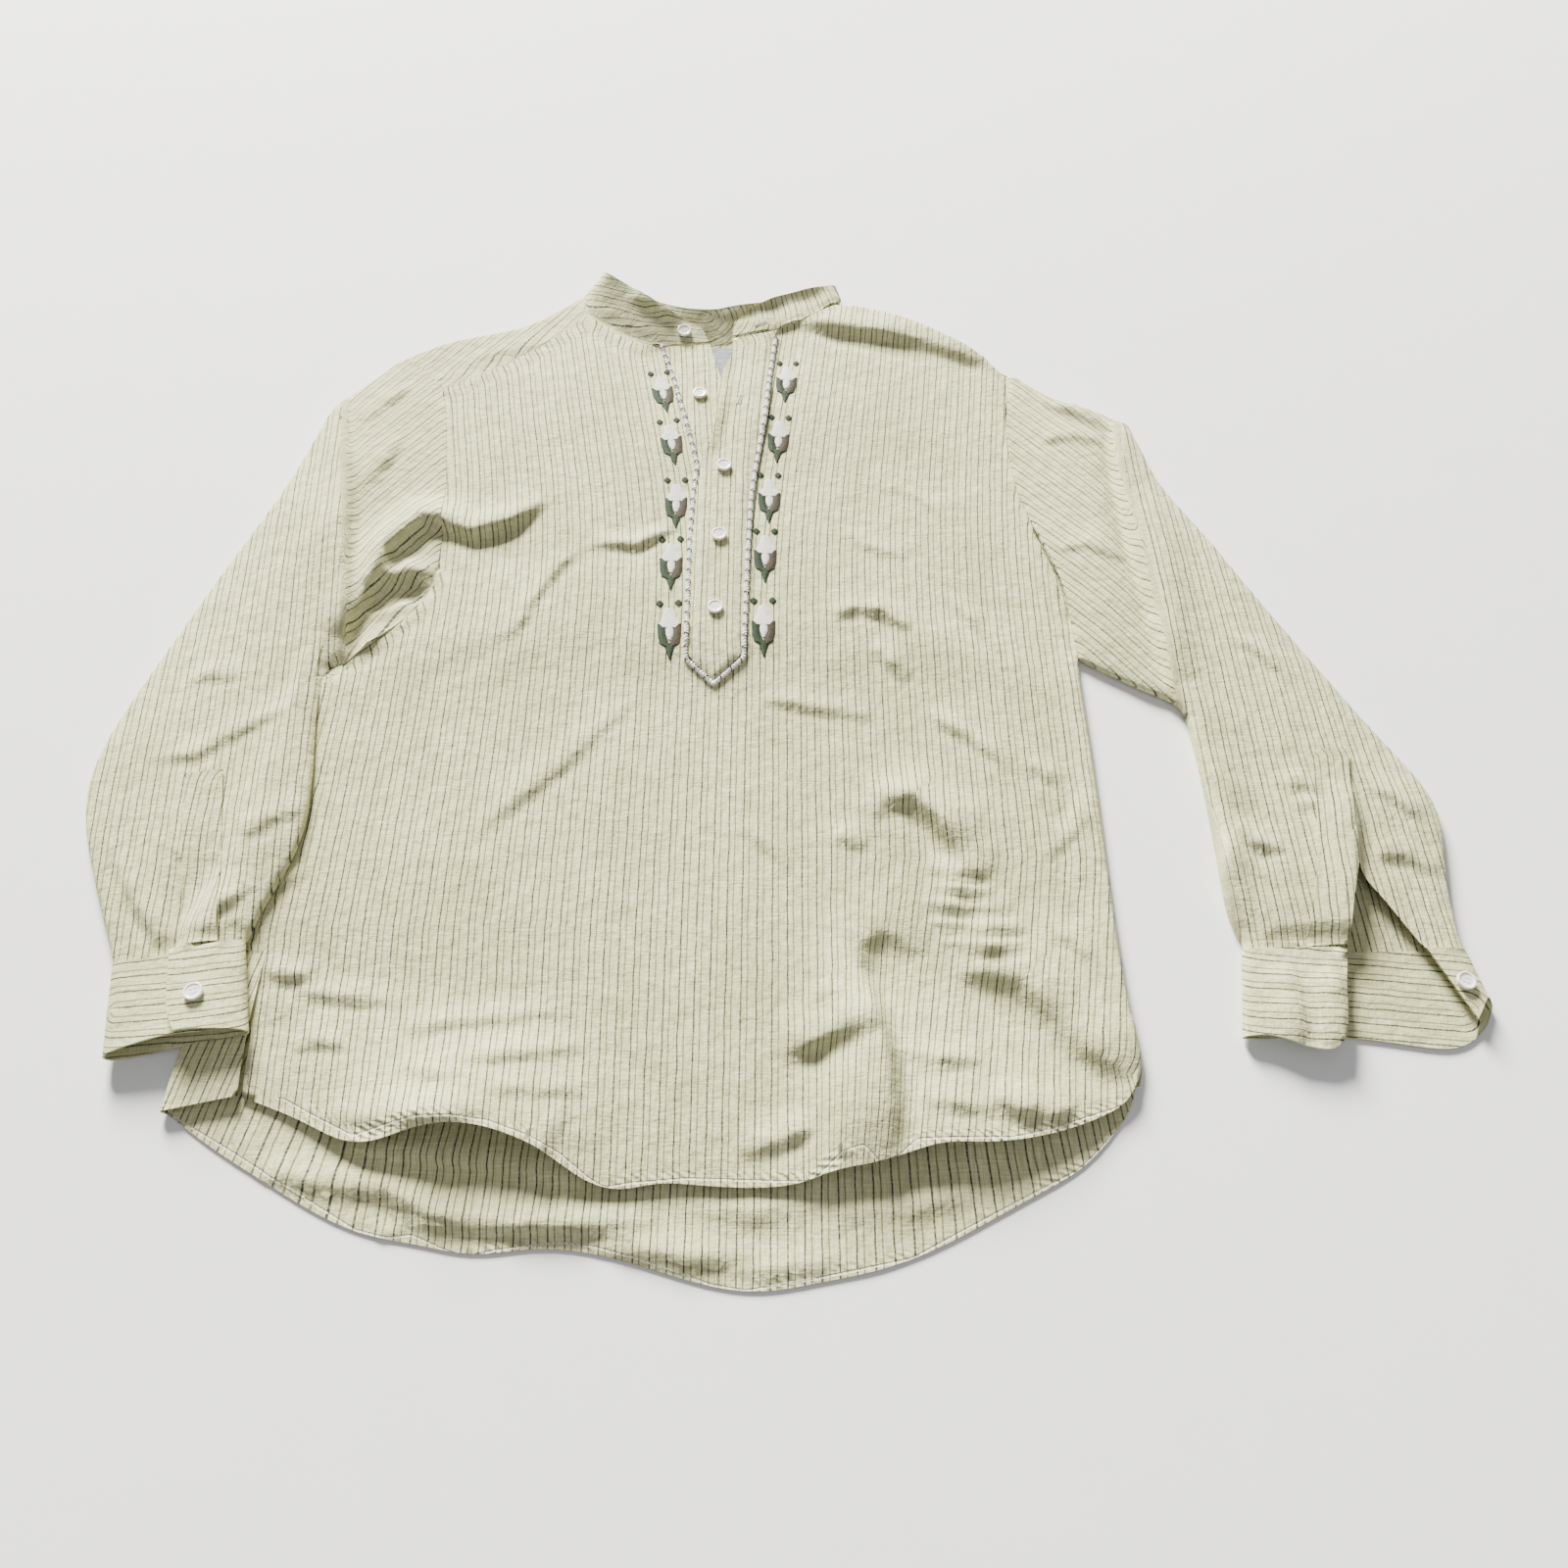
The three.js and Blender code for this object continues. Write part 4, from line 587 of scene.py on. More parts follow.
# %% [markdown]
# ## Laying the warp
#
# Each panel carries a UV map in metres. Its first value runs across the stripes and its second along them.
# An unwrap would turn and stretch the stripes, so the map is worked out from the place of each point. The
# stripes follow the grain of each cut piece, and lean where the cloth was pulled as it was laid out.


# %% Warp and stitching maps
def add_map(piece, name, values):
    """Write one pair of values a vertex as a UV map."""
    layer = piece.data.uv_layers.new(name=name)
    corners = np.empty(len(piece.data.loops), dtype=np.int32)
    piece.data.loops.foreach_get("vertex_index", corners)
    layer.data.foreach_set("uv", values[corners].ravel())


def lay_warp(piece, warp, seams=(), level=0.01):
    """Give a piece its stripes, and stitching along the lines that are drawn over the photograph."""
    points = points_of(piece)
    across, along = warp(points[:, 0], points[:, 1], points[:, 2])
    add_map(piece, "cloth", np.stack([across, along], axis=1))
    sewing = np.full((len(points), 2), 1.0)
    nearest = np.full(len(points), 1.0)
    for pixels in seams:
        line = [tuple(spot(p, level)[:2]) for p in pixels]
        run, side = along_line(points, line)[:2]
        closer = np.abs(side) < nearest
        nearest = np.where(closer, np.abs(side), nearest)
        sewing[:, 0] = np.where(closer, run, sewing[:, 0])
        sewing[:, 1] = np.where(closer, side, sewing[:, 1])
    add_map(piece, "sewing", sewing)
    piece.data.materials.clear()
    piece.data.materials.append(STRIPED_LINEN)


def straight(angle, offset=0.0):
    """A warp whose stripes are square to this angle, counted in degrees from the garment's width."""
    cos, sin = math.cos(math.radians(angle)), math.sin(math.radians(angle))
    return lambda x, y, z: (cos * x + sin * y + offset, -sin * x + cos * y)


def area_of(piece):
    """The area of one side of the cloth."""
    mesh = bmesh.new()
    mesh.from_mesh(piece.data)
    total = sum(face.calc_area() for face in mesh.faces)
    mesh.free()
    return total / 2


def declare(piece, width, length, area):
    """Print the area of one side of a piece beside the size of its flat cut."""
    print(piece.name, "cloth area", round(area_of(piece), 4), "cut area", area, "of", width, "by", length)


print("map helpers ready")

# %% [markdown]
# ## Creases of the front
#
# The front is the largest piece. It has a strong fold from the left armpit, short dents over the chest, an
# arc and ripples at the lower right, thin level creases at the lower left, and an upright fold through the
# hem. They are listed here as lines of pixels, half width and height.

# %% Creases of the front
FRONT_LEVEL = 0.012
ARMPIT_FOLD = (
    [(346, 650), (368, 610), (392, 563), (430, 529), (454, 528), (482, 538), (520, 529), (556, 508)],
    12,
    8.0,
)
FRONT_CREASES = [
    ARMPIT_FOLD,
    ([(520, 650), (545, 605), (570, 575), (592, 556)], 7, 1.6),
    ([(592, 557), (620, 553), (650, 556), (690, 537)], 6, 2.0),
    ([(470, 860), (520, 815), (570, 778), (612, 738), (660, 704)], 8, 1.3),
    ([(775, 712), (800, 714), (842, 721), (890, 728)], 6, 1.8),
    ([(850, 628), (872, 619), (900, 621), (928, 640)], 7, 2.6),
    ([(890, 655), (905, 668), (926, 692)], 6, 2.0),
    ([(970, 605), (990, 625), (1022, 660)], 6, 1.6),
    ([(948, 722), (975, 740), (1000, 752), (1028, 778)], 6, 1.8),
    ([(1045, 770), (1062, 780), (1082, 796)], 6, 1.5),
    ([(886, 832), (905, 812), (935, 808), (962, 832), (984, 864), (1008, 894)], 12, 4.6),
    ([(850, 852), (866, 853), (884, 862)], 6, 1.6),
    ([(755, 840), (780, 858), (806, 884)], 6, 1.0),
    ([(946, 882), (975, 886), (1012, 888)], 7, 2.2),
    ([(946, 900), (985, 904), (1022, 907)], 7, 2.6),
    ([(944, 918), (985, 922), (1036, 923)], 7, 3.0),
    ([(948, 937), (1000, 942), (1050, 944)], 7, 3.0),
    ([(956, 956), (1005, 961), (1052, 959)], 7, 2.4),
    (
        [(906, 1198), (903, 1130), (897, 1075), (884, 1030), (868, 990), (874, 957), (902, 942), (945, 966)],
        15,
        5.2,
    ),
    ([(975, 984), (1010, 984), (1048, 992), (1086, 1028), (1116, 1062), (1158, 1092)], 18, 5.4),
    ([(1068, 872), (1085, 856), (1104, 838)], 6, 1.2),
    ([(1070, 935), (1095, 955), (1125, 985)], 6, 1.4),
    ([(796, 1072), (830, 1056), (860, 1044), (896, 1040)], 12, 4.0),
    ([(822, 1024), (838, 1014), (856, 1008)], 5, 1.2),
    ([(918, 1070), (950, 1080), (1004, 1080)], 6, 1.6),
    ([(938, 1118), (980, 1128), (1022, 1132)], 6, 1.4),
    ([(1010, 1116), (1040, 1128), (1072, 1134), (1102, 1126)], 10, 3.4),
    ([(752, 1172), (790, 1164), (832, 1146)], 7, 2.2),
    ([(262, 984), (290, 992), (320, 990)], 6, 1.6),
    ([(292, 1006), (340, 1012), (412, 1020)], 6, 1.4),
    ([(405, 1048), (470, 1040), (530, 1033), (578, 1028)], 6, 1.3),
    ([(292, 1068), (318, 1058), (350, 1064)], 6, 1.4),
    ([(440, 1080), (500, 1078), (560, 1070), (612, 1060)], 6, 1.3),
    ([(408, 1086), (440, 1096), (486, 1102)], 5, 1.1),
    ([(495, 1112), (540, 1114), (596, 1112)], 5, 1.1),
    ([(330, 1130), (380, 1140), (445, 1140), (500, 1134)], 9, 2.4),
    ([(255, 905), (280, 893), (310, 890)], 7, 1.6),
    ([(812, 322), (858, 328), (908, 334), (958, 345), (1004, 364)], 14, 5.0),
    ([(905, 492), (930, 500), (962, 520)], 6, 0.9),
    ([(860, 540), (890, 556), (930, 566)], 6, 0.9),
    ([(530, 1205), (560, 1160), (575, 1120)], 8, 1.2),
    ([(1108, 800), (1098, 840), (1104, 900)], 8, 1.2),
]
print("creases of the front", len(FRONT_CREASES))

# %% [markdown]
# ## Grain and edges of the front
#
# As the front was laid, it was pulled. Its stripes fan out towards both shoulders and draw in towards the
# lower corners. The narrow hem is held by one line of stitching. On the left, the sleeve lies on the body,
# and the edge of the front runs on under it, so that edge is drawn over by up to 22 mm and a little upwards.

# %% Grain and edges of the front
LEFT_PULL = 0.18
RIGHT_PULL = 0.11
LOW_RIGHT_PULL = 0.17
LOW_LEFT_PULL = 0.07


def lean(y, centre, spread):
    """The share of a pull that has built up, in metres of height above this centre."""
    rise = np.maximum(y - centre, 0.0)
    return np.where(rise < spread, rise**2 / (2 * spread), rise - spread / 2)


def front_warp(x, y, z):
    """The stripes of the front, which fan out above the chest and draw in towards the lower corners."""
    up = lean(y, 0.040, 0.160)
    right_of_slit = smooth(x, -0.045, -0.020)
    side = LEFT_PULL * (1 - right_of_slit) - RIGHT_PULL * right_of_slit
    low = np.maximum(-0.150 - y, 0.0)
    right_low = LOW_RIGHT_PULL * low * smooth(x, 0.020, 0.110)
    left_low = -LOW_LEFT_PULL * np.maximum(-0.200 - y, 0.0) * (1 - smooth(x, -0.2, 0.0))
    return x + side * up + right_low + left_low, y


FRONT_SEAMS = [
    [(286, 1119), (318, 1137), (360, 1159), (395, 1150), (430, 1143), (466, 1143), (501, 1148), (540, 1162)],
    [(540, 1162), (571, 1178), (602, 1203), (616, 1211), (641, 1206), (700, 1201), (830, 1205), (860, 1176)],
    [
        (860, 1176),
        (880, 1170),
        (899, 1190),
        (918, 1180),
        (935, 1164),
        (1033, 1162),
        (1071, 1153),
        (1150, 1126),
    ],
]

# Pixels down the left edge, and how far the edge runs on there in metres.
TUCKED_EDGE = [
    ((362, 668), 0.0),
    ((360, 700), 0.020),
    ((335, 850), 0.018),
    ((281, 940), 0.022),
    ((255, 1056), 0.0),
]
TUCK_REACH = 0.07
TUCK_LIFT = 0.20
EDGE_STEP = 0.006


def tuck_edge(piece, stops):
    """Draw the left edge of a panel to the left and over what lies there, and the cloth beside it by less."""
    points = points_of(piece)
    heights = [spot(p, 0.004).y for p, shift in reversed(stops)]
    shifts = [shift for p, shift in reversed(stops)]
    rows = np.round(points[:, 1] / EDGE_STEP).astype(int)
    edge = {row: points[rows == row, 0].min() for row in np.unique(rows)}
    inside = points[:, 0] - np.array([edge[row] for row in rows])
    pull = np.interp(points[:, 1], heights, shifts) * (1 - smooth(inside, 0.0, TUCK_REACH))
    points[:, 0] -= pull
    points[:, 2] += TUCK_LIFT * pull
    set_points(piece, points)
    print(piece.name, "left edge runs on by", round(float(pull.max()), 4))


# %% [markdown]
# ## Front panel
#
# Here the helpers come together. A soft copy of the CAD panel gets its long edge, its stripes, its rounded
# corner and its creases, and then its area is printed beside that of its flat cut. The stripes come before
# the creases, so that they rise and fall with the cloth.

# %% Front panel
front = cloth_from("front_panel", fine_above=0.004)
tuck_edge(front, TUCKED_EDGE)
lay_warp(front, front_warp, FRONT_SEAMS, level=0.009)
round_corner(front, corner=(1175, 1113), before=(1155, 1010), after=(1101, 1146), radius=0.034)
shape_cloth(front, FRONT_CREASES, FRONT_LEVEL, seed=3.0)
declare(front, width=0.54, length=0.76, area=0.345)

# %% [markdown]
# ## Back panel and yoke
#
# The back is longer than the front, so its tail shows below the front hem, with one long crease that follows
# the curve of the hem. The yoke comes over the left shoulder to a seam across the chest. Both are made as the
# front was, and only their lines differ.

# %% Back panel and yoke
BACK_CREASES = [
    ([(350, 1168), (420, 1178), (500, 1185), (560, 1196), (612, 1211)], 9, 4.0),
    ([(262, 1196), (330, 1208), (395, 1213), (440, 1236), (480, 1247), (570, 1251), (672, 1246)], 9, 4.2),
    ([(575, 1266), (640, 1275), (700, 1286), (775, 1284)], 7, 2.6),
    ([(745, 1300), (800, 1297), (870, 1290)], 6, 1.6),
    ([(380, 1262), (420, 1248), (470, 1268)], 7, 1.6),
    ([(850, 1240), (920, 1236), (1000, 1218)], 8, 1.8),
    ([(700, 1232), (760, 1240), (830, 1238)], 7, 1.5),
]
BACK_SEAMS = [
    [(176, 1139), (226, 1169), (294, 1212), (362, 1255), (394, 1263), (420, 1260), (450, 1274), (475, 1283)],
    [(475, 1283), (502, 1276), (571, 1267), (606, 1272), (650, 1284), (726, 1311), (761, 1317), (841, 1303)],
    [(841, 1303), (931, 1284), (990, 1252), (1104, 1192), (1148, 1145)],
]
YOKE_CREASES = [
    ([(455, 420), (500, 404), (548, 398)], 8, 1.2),
    ([(470, 372), (520, 356), (560, 344)], 8, 1.0),
]


def back_warp(x, y, z):
    """The stripes of the back, which fan a little towards both ends of its tail."""
    low = np.maximum(-0.150 - y, 0.0)
    return x + 0.18 * low * (1 - smooth(x, -0.32, -0.20)) - 0.09 * low * smooth(x, 0.05, 0.20), y


back = cloth_from("back_panel", fine_above=0.001)
lay_warp(back, back_warp, BACK_SEAMS, level=0.0016)
round_corner(back, corner=(1175, 1121), before=(1155, 1010), after=(1104, 1178), radius=0.045)
shape_cloth(back, BACK_CREASES, 0.002, rise=(-0.002, -0.001), wide=0.3, fine=0.1, seed=5.0, lowest=0.0)
declare(back, width=0.58, length=0.67, area=0.37)

yoke = cloth_from("yoke")
lay_warp(yoke, straight(-36.0), level=0.007)
shape_cloth(yoke, YOKE_CREASES, 0.007, wide=0.6, seed=7.0)
declare(yoke, width=0.51, length=0.17, area=0.06)

# %% [markdown]
# ## Sleeves
#
# Each sleeve is a tube that lies folded. The left one bends in towards the body, with a ridge down its length
# and a deep hollow at the armpit. The right one points out, with a fold from the shoulder down to the elbow.
# The stripes turn at such a fold, so each sleeve has one grain outside it and another inside.

# %% Sleeves
LEFT_SLEEVE_CREASES = [
    ([(342, 700), (350, 600), (352, 540), (352, 480), (346, 398)], 11, 5.2),
    ARMPIT_FOLD,
    ([(372, 602), (398, 588), (444, 582)], 9, 4.5),
    ([(372, 622), (405, 606), (446, 600)], 9, -3.6),
    ([(352, 672), (395, 648), (446, 612)], 7, 3.6),
    ([(372, 430), (392, 412), (420, 392)], 7, 1.6),
    ([(370, 500), (392, 476), (412, 440)], 7, 1.4),
    ([(190, 700), (215, 690), (255, 692)], 7, 1.2),
    ([(150, 776), (200, 772), (250, 745), (300, 725)], 7, 1.3),
    ([(120, 870), (140, 920), (172, 968)], 7, 1.6),
    ([(200, 952), (225, 930), (262, 905)], 7, 1.6),
    ([(250, 860), (280, 840), (312, 828)], 7, 1.2),
    ([(180, 880), (205, 860), (230, 850)], 6, 1.0),
]
RIGHT_SLEEVE_CREASES = [
    ([(1138, 426), (1144, 470), (1168, 566), (1190, 650), (1208, 732)], 11, 5.4),
    ([(1206, 700), (1228, 765), (1248, 812), (1256, 850), (1250, 900), (1262, 950)], 10, 4.4),
    ([(1376, 985), (1377, 930), (1376, 870), (1374, 800)], 10, 3.4),
    ([(1062, 408), (1095, 418), (1140, 440)], 9, 2.0),
    ([(1060, 450), (1095, 445), (1128, 452)], 7, 1.2),
    ([(1075, 560), (1110, 556), (1150, 575)], 7, 1.2),
    ([(1262, 840), (1282, 862), (1312, 868)], 7, 1.8),
    ([(1300, 805), (1325, 802), (1352, 812)], 6, 1.5),
    ([(1318, 826), (1345, 822), (1378, 830)], 6, 1.4),
    ([(1390, 800), (1420, 812), (1455, 838)], 7, 1.5),
    ([(1250, 650), (1285, 668), (1320, 702)], 7, 1.3),
    ([(1400, 870), (1435, 872), (1468, 890)], 8, 1.8),
]
LEFT_FOLD = [(350, 405), (352, 480), (352, 560), (348, 640), (340, 700), (332, 780), (300, 900)]
RIGHT_FOLD = [(1140, 430), (1144, 470), (1169, 567), (1191, 651), (1207, 722), (1240, 840), (1262, 950)]


def folded_warp(fold, level, outer, inner, offset=0.0):
    """Two straight warps that meet at a fold."""
    line = [tuple(spot(p, level)[:2]) for p in fold]

    def warp(x, y, z):
        side = along_line(np.stack([x, y], axis=1), line)[1]
        share = smooth(side, -0.002, 0.002)
        first, second = straight(outer)(x, y, z), straight(inner, offset)(x, y, z)
        return tuple(a * (1 - share) + b * share for a, b in zip(first, second))

    return warp


sleeve_left = cloth_from("sleeve_left", fine_above=0.004)
lay_warp(sleeve_left, folded_warp(LEFT_FOLD, 0.012, 6.0, -34.0), level=0.01)
shape_cloth(sleeve_left, LEFT_SLEEVE_CREASES, 0.010, wide=1.6, seed=11.0)
declare(sleeve_left, width=0.30, length=0.54, area=0.139)

sleeve_right = cloth_from("sleeve_right", fine_above=0.004)
lay_warp(sleeve_right, folded_warp(RIGHT_FOLD, 0.010, 40.0, 1.0), level=0.01)
shape_cloth(sleeve_right, RIGHT_SLEEVE_CREASES, 0.009, wide=1.6, seed=13.0)
declare(sleeve_right, width=0.29, length=0.53, area=0.132)

# %% [markdown]
# ## Cuffs, collar and placket strips
#
# These are narrow bands cut along the warp, so their stripes run along them. Each lies as the CAD model has
# it, so it only needs stripes that follow a line and a crease or two. All of them are made in one loop.

# %% Bands
# The line of the stripes, width and length opened flat, what it lies on, and the cut area.
BANDS = {
    "collar_band": ([(600, 300), (660, 318), (720, 322)], 0.45, 0.045, "yoke", 0.019),
    "cuff_left": ([(120, 1030), (250, 1015)], 0.26, 0.06, "floor", 0.0145),
    "cuff_right": ([(1268, 1010), (1500, 1030)], 0.26, 0.06, "floor", 0.0135),
    "placket_underlap": ([(690, 350), (700, 480), (712, 600)], 0.040, 0.33, "front_panel", 0.0125),
    "placket_overlap": ([(745, 350), (735, 480), (728, 690)], 0.045, 0.37, "front_panel", 0.0148),
    "sleeve_placket_left": ([(235, 800), (198, 975)], 0.03, 0.13, "sleeve_left", 0.0035),
    "sleeve_placket_right": ([(1340, 775), (1360, 985)], 0.03, 0.15, "sleeve_right", 0.0038),
}
BAND_CREASES = {
    "collar_band": [
        ([(742, 322), (768, 306), (800, 296), (842, 287)], 13, 3.6),
        ([(644, 310), (664, 316), (692, 331)], 8, 2.6),
    ],
    "cuff_right": [
        ([(1330, 1066), (1322, 1020), (1318, 980)], 9, 3.0),
        ([(1372, 1066), (1368, 1020), (1362, 985)], 9, 2.6),
    ],
    "sleeve_placket_right": [([(1376, 985), (1377, 930), (1376, 870), (1374, 800)], 10, 3.4)],
    "placket_overlap": [([(722, 470), (735, 420), (742, 352)], 8, 1.6)],
}
RISE_SHARE = 0.7


def band_warp(pixels, level):
    """Stripes that run along a line drawn over the photograph. The rise of a rim adds to the way across."""
    line = [tuple(spot(p, level)[:2]) for p in pixels]

    def warp(x, y, z):
        run, side = along_line(np.stack([x, y], axis=1), line)[:2]
        first, last = Vector(line[0]), Vector(line[-1])
        ahead = (last - first).normalized()
        beyond = (x - last.x) * ahead.x + (y - last.y) * ahead.y
        return side + RISE_SHARE * z, run + np.maximum(beyond, 0.0)

    return warp


bands = {}
for name, (pixels, width, length, under, area) in BANDS.items():
    piece = cloth_from(name)
    lay_warp(piece, band_warp(pixels, 0.012), level=0.012)
    shape_cloth(piece, BAND_CREASES.get(name, []), 0.014, wide=0.5, fine=0.5, seed=len(name) * 1.3)
    declare(piece, width, length, area)
    bands[name] = piece

label = cloth_from("neck_label")
lay_warp(label, straight(0.0), level=0.003)
label.data.materials.clear()
# Its grey carries painted shade of the neck opening.
label.data.materials.append(LABEL_WITH_PAINTED_SHADE)
declare(label, width=0.044, length=0.036, area=0.0014)

# %% [markdown]
# ## Closing the seams
#
# The CAD panels stop a little short of each other, but a sewn seam has no gap. The rims could be bridged with
# faces, but then two panels would be one piece. So the rims of two neighbours are drawn towards each other
# until only the fine valley of the seam is left. Where the gap is wide, only the rims beside a drawn line
# move, and only above a height, so that an upper layer isn't caught by a lower one.

# %% Closing the seams
SEAM_REACH = 5.0 * MM
SEAM_PULL = 0.47
EASE_FROM = 0.6
BESIDE = 1.5
LAYER = 4.0 * MM


def tree_of(piece, above=-1.0):
    """The piece as a tree for nearest points and rays, with only the faces that lie above a height."""
    mesh = bmesh.new()
    mesh.from_mesh(piece.data)
    low = [face for face in mesh.faces if face.calc_center_median().z < above]
    bmesh.ops.delete(mesh, geom=low, context="FACES")
    tree = BVHTree.FromBMesh(mesh)
    mesh.free()
    return tree


def close_seams(pairs, reach, steepest, beside=None, above=-1.0):
    """Draw the rims of each pair together. A pull steeper than this slope joins layers and isn't made."""
    line = [tuple(spot(p, 0.008)[:2]) for p in beside] if beside else None
    moves = []
    for first, second in pairs:
        for piece, other in ((first, second), (second, first)):
            tree = tree_of(other, above)
            points = points_of(piece)
            away = np.abs(along_line(points, line)[1]) if line else np.zeros(len(points))
            kept = (away < BESIDE * reach) & (points[:, 2] > above)
            for i, point in enumerate(points):
                near = tree.find_nearest(Vector(point), reach)[0] if kept[i] else None
                if near is None:
                    continue
                pull = near - Vector(point)
                if abs(pull.z) < steepest * math.hypot(pull.x, pull.y):
                    easing = 1.0 - float(smooth(pull.length, EASE_FROM * reach, reach))
                    moves.append((piece, i, pull * SEAM_PULL * easing))
    for piece, i, pull in moves:
        piece.data.vertices[i].co += pull
    print("rim points drawn together", len(moves))


ARMPIT_SEAM = [(440, 600), (400, 640), (362, 680)]
YOKE_SEAM = [(420, 398), (500, 372), (560, 346), (612, 316)]
NECK_CORNER = [(588, 330), (612, 326), (640, 345)]
SHOULDER_CORNER = [(425, 372), (440, 385), (460, 400)]
close_seams([(front, sleeve_left)], reach=12.0 * MM, steepest=1.0, beside=ARMPIT_SEAM)
close_seams([(front, yoke)], reach=17.0 * MM, steepest=2.0, beside=YOKE_SEAM, above=LAYER)
close_seams([(bands["collar_band"], front)], reach=17.0 * MM, steepest=2.0, beside=NECK_CORNER, above=LAYER)
close_seams([(yoke, sleeve_left)], reach=9.0 * MM, steepest=2.5, beside=SHOULDER_CORNER)
close_seams([(front, yoke), (bands["collar_band"], yoke)], reach=4.2 * MM, steepest=2.0)
close_seams([(front, sleeve_right), (front, sleeve_left)], reach=SEAM_REACH, steepest=2.5)
close_seams([(yoke, sleeve_left), (yoke, sleeve_right), (yoke, back)], reach=SEAM_REACH, steepest=2.5)
CUFF_SEAMS = [(bands["cuff_left"], sleeve_left), (bands["cuff_right"], sleeve_right)]
close_seams(CUFF_SEAMS, reach=SEAM_REACH, steepest=0.7)
close_seams([(bands["sleeve_placket_left"], bands["cuff_left"])], reach=6.0 * MM, steepest=1.0)
close_seams([(bands["sleeve_placket_right"], bands["cuff_right"])], reach=6.0 * MM, steepest=1.0)
close_seams([(bands["collar_band"], front), (bands["collar_band"], yoke)], reach=7.0 * MM, steepest=1.2)

# %% [markdown]
# ## Cord along the closure
#
# A white cord of two twisted strands outlines the closure, and runs to a point below it. Dark tacking
# stitches hold it down about every centimetre. One tube with a twisted pattern would do from afar, but two
# strands that wind round each other show the twist in the outline too. First the strips that the cord and
# the cuffs hold down are pressed onto the cloth below.

# %% Pressing the strips down
CORD_LEFT = [(675, 353), (688, 389), (703, 441), (712, 477), (708, 505), (704, 560), (700, 673), (728, 699)]
CORD_RIGHT = [(792, 344), (786, 383), (781, 426), (771, 480), (767, 508), (764, 556), (759, 672), (728, 699)]
LEFT_CUFF_SEAM = [(170, 972), (240, 965)]
RIGHT_CUFF_SEAM = [(1320, 966), (1390, 968)]


def sink_edge(piece, pixels, reach, depth):
    """Press the rim of a strip down onto the cloth that it is sewn to, beside a line in the photograph."""
    points = points_of(piece)
    line = [tuple(spot(p, 0.013)[:2]) for p in pixels]
    away = np.abs(along_line(points, line)[1])
    raised = smooth(points[:, 2], 2 * MM, 5 * MM)
    points[:, 2] -= depth * raised * (1 - smooth(away, reach * 0.4, reach))
    set_points(piece, points)


sink_edge(bands["placket_overlap"], CORD_RIGHT, reach=7 * MM, depth=1.9 * MM)
sink_edge(bands["sleeve_placket_left"], LEFT_CUFF_SEAM, reach=16 * MM, depth=1.9 * MM)
sink_edge(sleeve_left, LEFT_CUFF_SEAM, reach=16 * MM, depth=1.5 * MM)
sink_edge(bands["sleeve_placket_right"], RIGHT_CUFF_SEAM, reach=18 * MM, depth=3.4 * MM)
sink_edge(sleeve_right, RIGHT_CUFF_SEAM, reach=18 * MM, depth=2.2 * MM)
sink_edge(bands["placket_overlap"], CORD_LEFT[3:], reach=6 * MM, depth=1.3 * MM)
sink_edge(bands["placket_underlap"], CORD_LEFT, reach=6 * MM, depth=0.9 * MM)
print("strips pressed down")

# %% [markdown]
# ## Thread on cloth
#
# Cord and embroidery lie on top of the finished cloth. A ray from above finds its height at each place, so
# thread follows every fold. Thread is a round curve made into a mesh, with few sides, because it is thin.

# %% Thread on cloth
CLOTH_TREES = [tree_of(p) for p in (front, yoke, back, *bands.values())]


def ground(x, y):
    """The height of the topmost cloth at a plan place."""
    best = 0.0
    for tree in CLOTH_TREES:
        hit = tree.ray_cast(Vector((x, y, 0.1)), Vector((0, 0, -1)))[0]
        if hit is not None:
            best = max(best, hit.z)
    return best


def on_cloth(pixel):
    """The plan place on the cloth that a pixel of the photograph shows."""
    height = 0.013
    for _ in range(3):
        place = spot(pixel, height)
        height = ground(place.x, place.y)
    return Vector((place.x, place.y))


def resample(line, step):
    """Points at even steps along a plan line."""
    points = []
    for first, last in zip(line[:-1], line[1:]):
        count = max(1, round((last - first).length / step))
        points += [first.lerp(last, i / count) for i in range(count)]
    return points + [line[-1]]


def rounded(line, step, passes=6):
    """A plan line with its corners eased."""
    points = resample(line, step)
    for _ in range(passes):
        middle = [(a + b * 2 + c) / 4 for a, b, c in zip(points[:-2], points[1:-1], points[2:])]
        points = [points[0], *middle, points[-1]]
    return points


def add_strands(name, paths, radius, material):
    """Threads as round curves, turned into one mesh."""
    curve = bpy.data.curves.new(name, "CURVE")
    curve.dimensions = "3D"
    curve.bevel_depth = radius
    curve.bevel_resolution = 1
    curve.use_fill_caps = True
    for path in paths:
        spline = curve.splines.new("POLY")
        spline.points.add(len(path) - 1)
        for point, place in zip(spline.points, path):
            point.co = (*place, 1.0)
    strands = bpy.data.objects.new(name, curve)
    bpy.context.scene.collection.objects.link(strands)
    select_only(strands)
    bpy.ops.object.convert(target="MESH")
    strands = bpy.context.object
    bpy.ops.object.shade_smooth()
    strands.data.materials.clear()
    strands.data.materials.append(material)
    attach(strands, "root")
    print(name, "threads", len(paths))


print("the cloth at the neck lies", round(ground(*on_cloth(NECK_PIXEL)), 4), "high")

# %% [markdown]
# ## Winding the cord
#
# Each strand turns about the line of the cord, half a turn apart from the other. The lines are eased first,
# because a cord doesn't bend sharply, except at the point where both sides meet.

# %% Winding the cord
STRAND_RADIUS = 1.0 * MM
TWIST_PITCH = 5.0 * MM
CORD_STEP = 0.6 * MM
TACK_EVERY = 10.0 * MM
FIRST_TACK = 4 * MM
TACK_RADIUS = 0.42 * MM

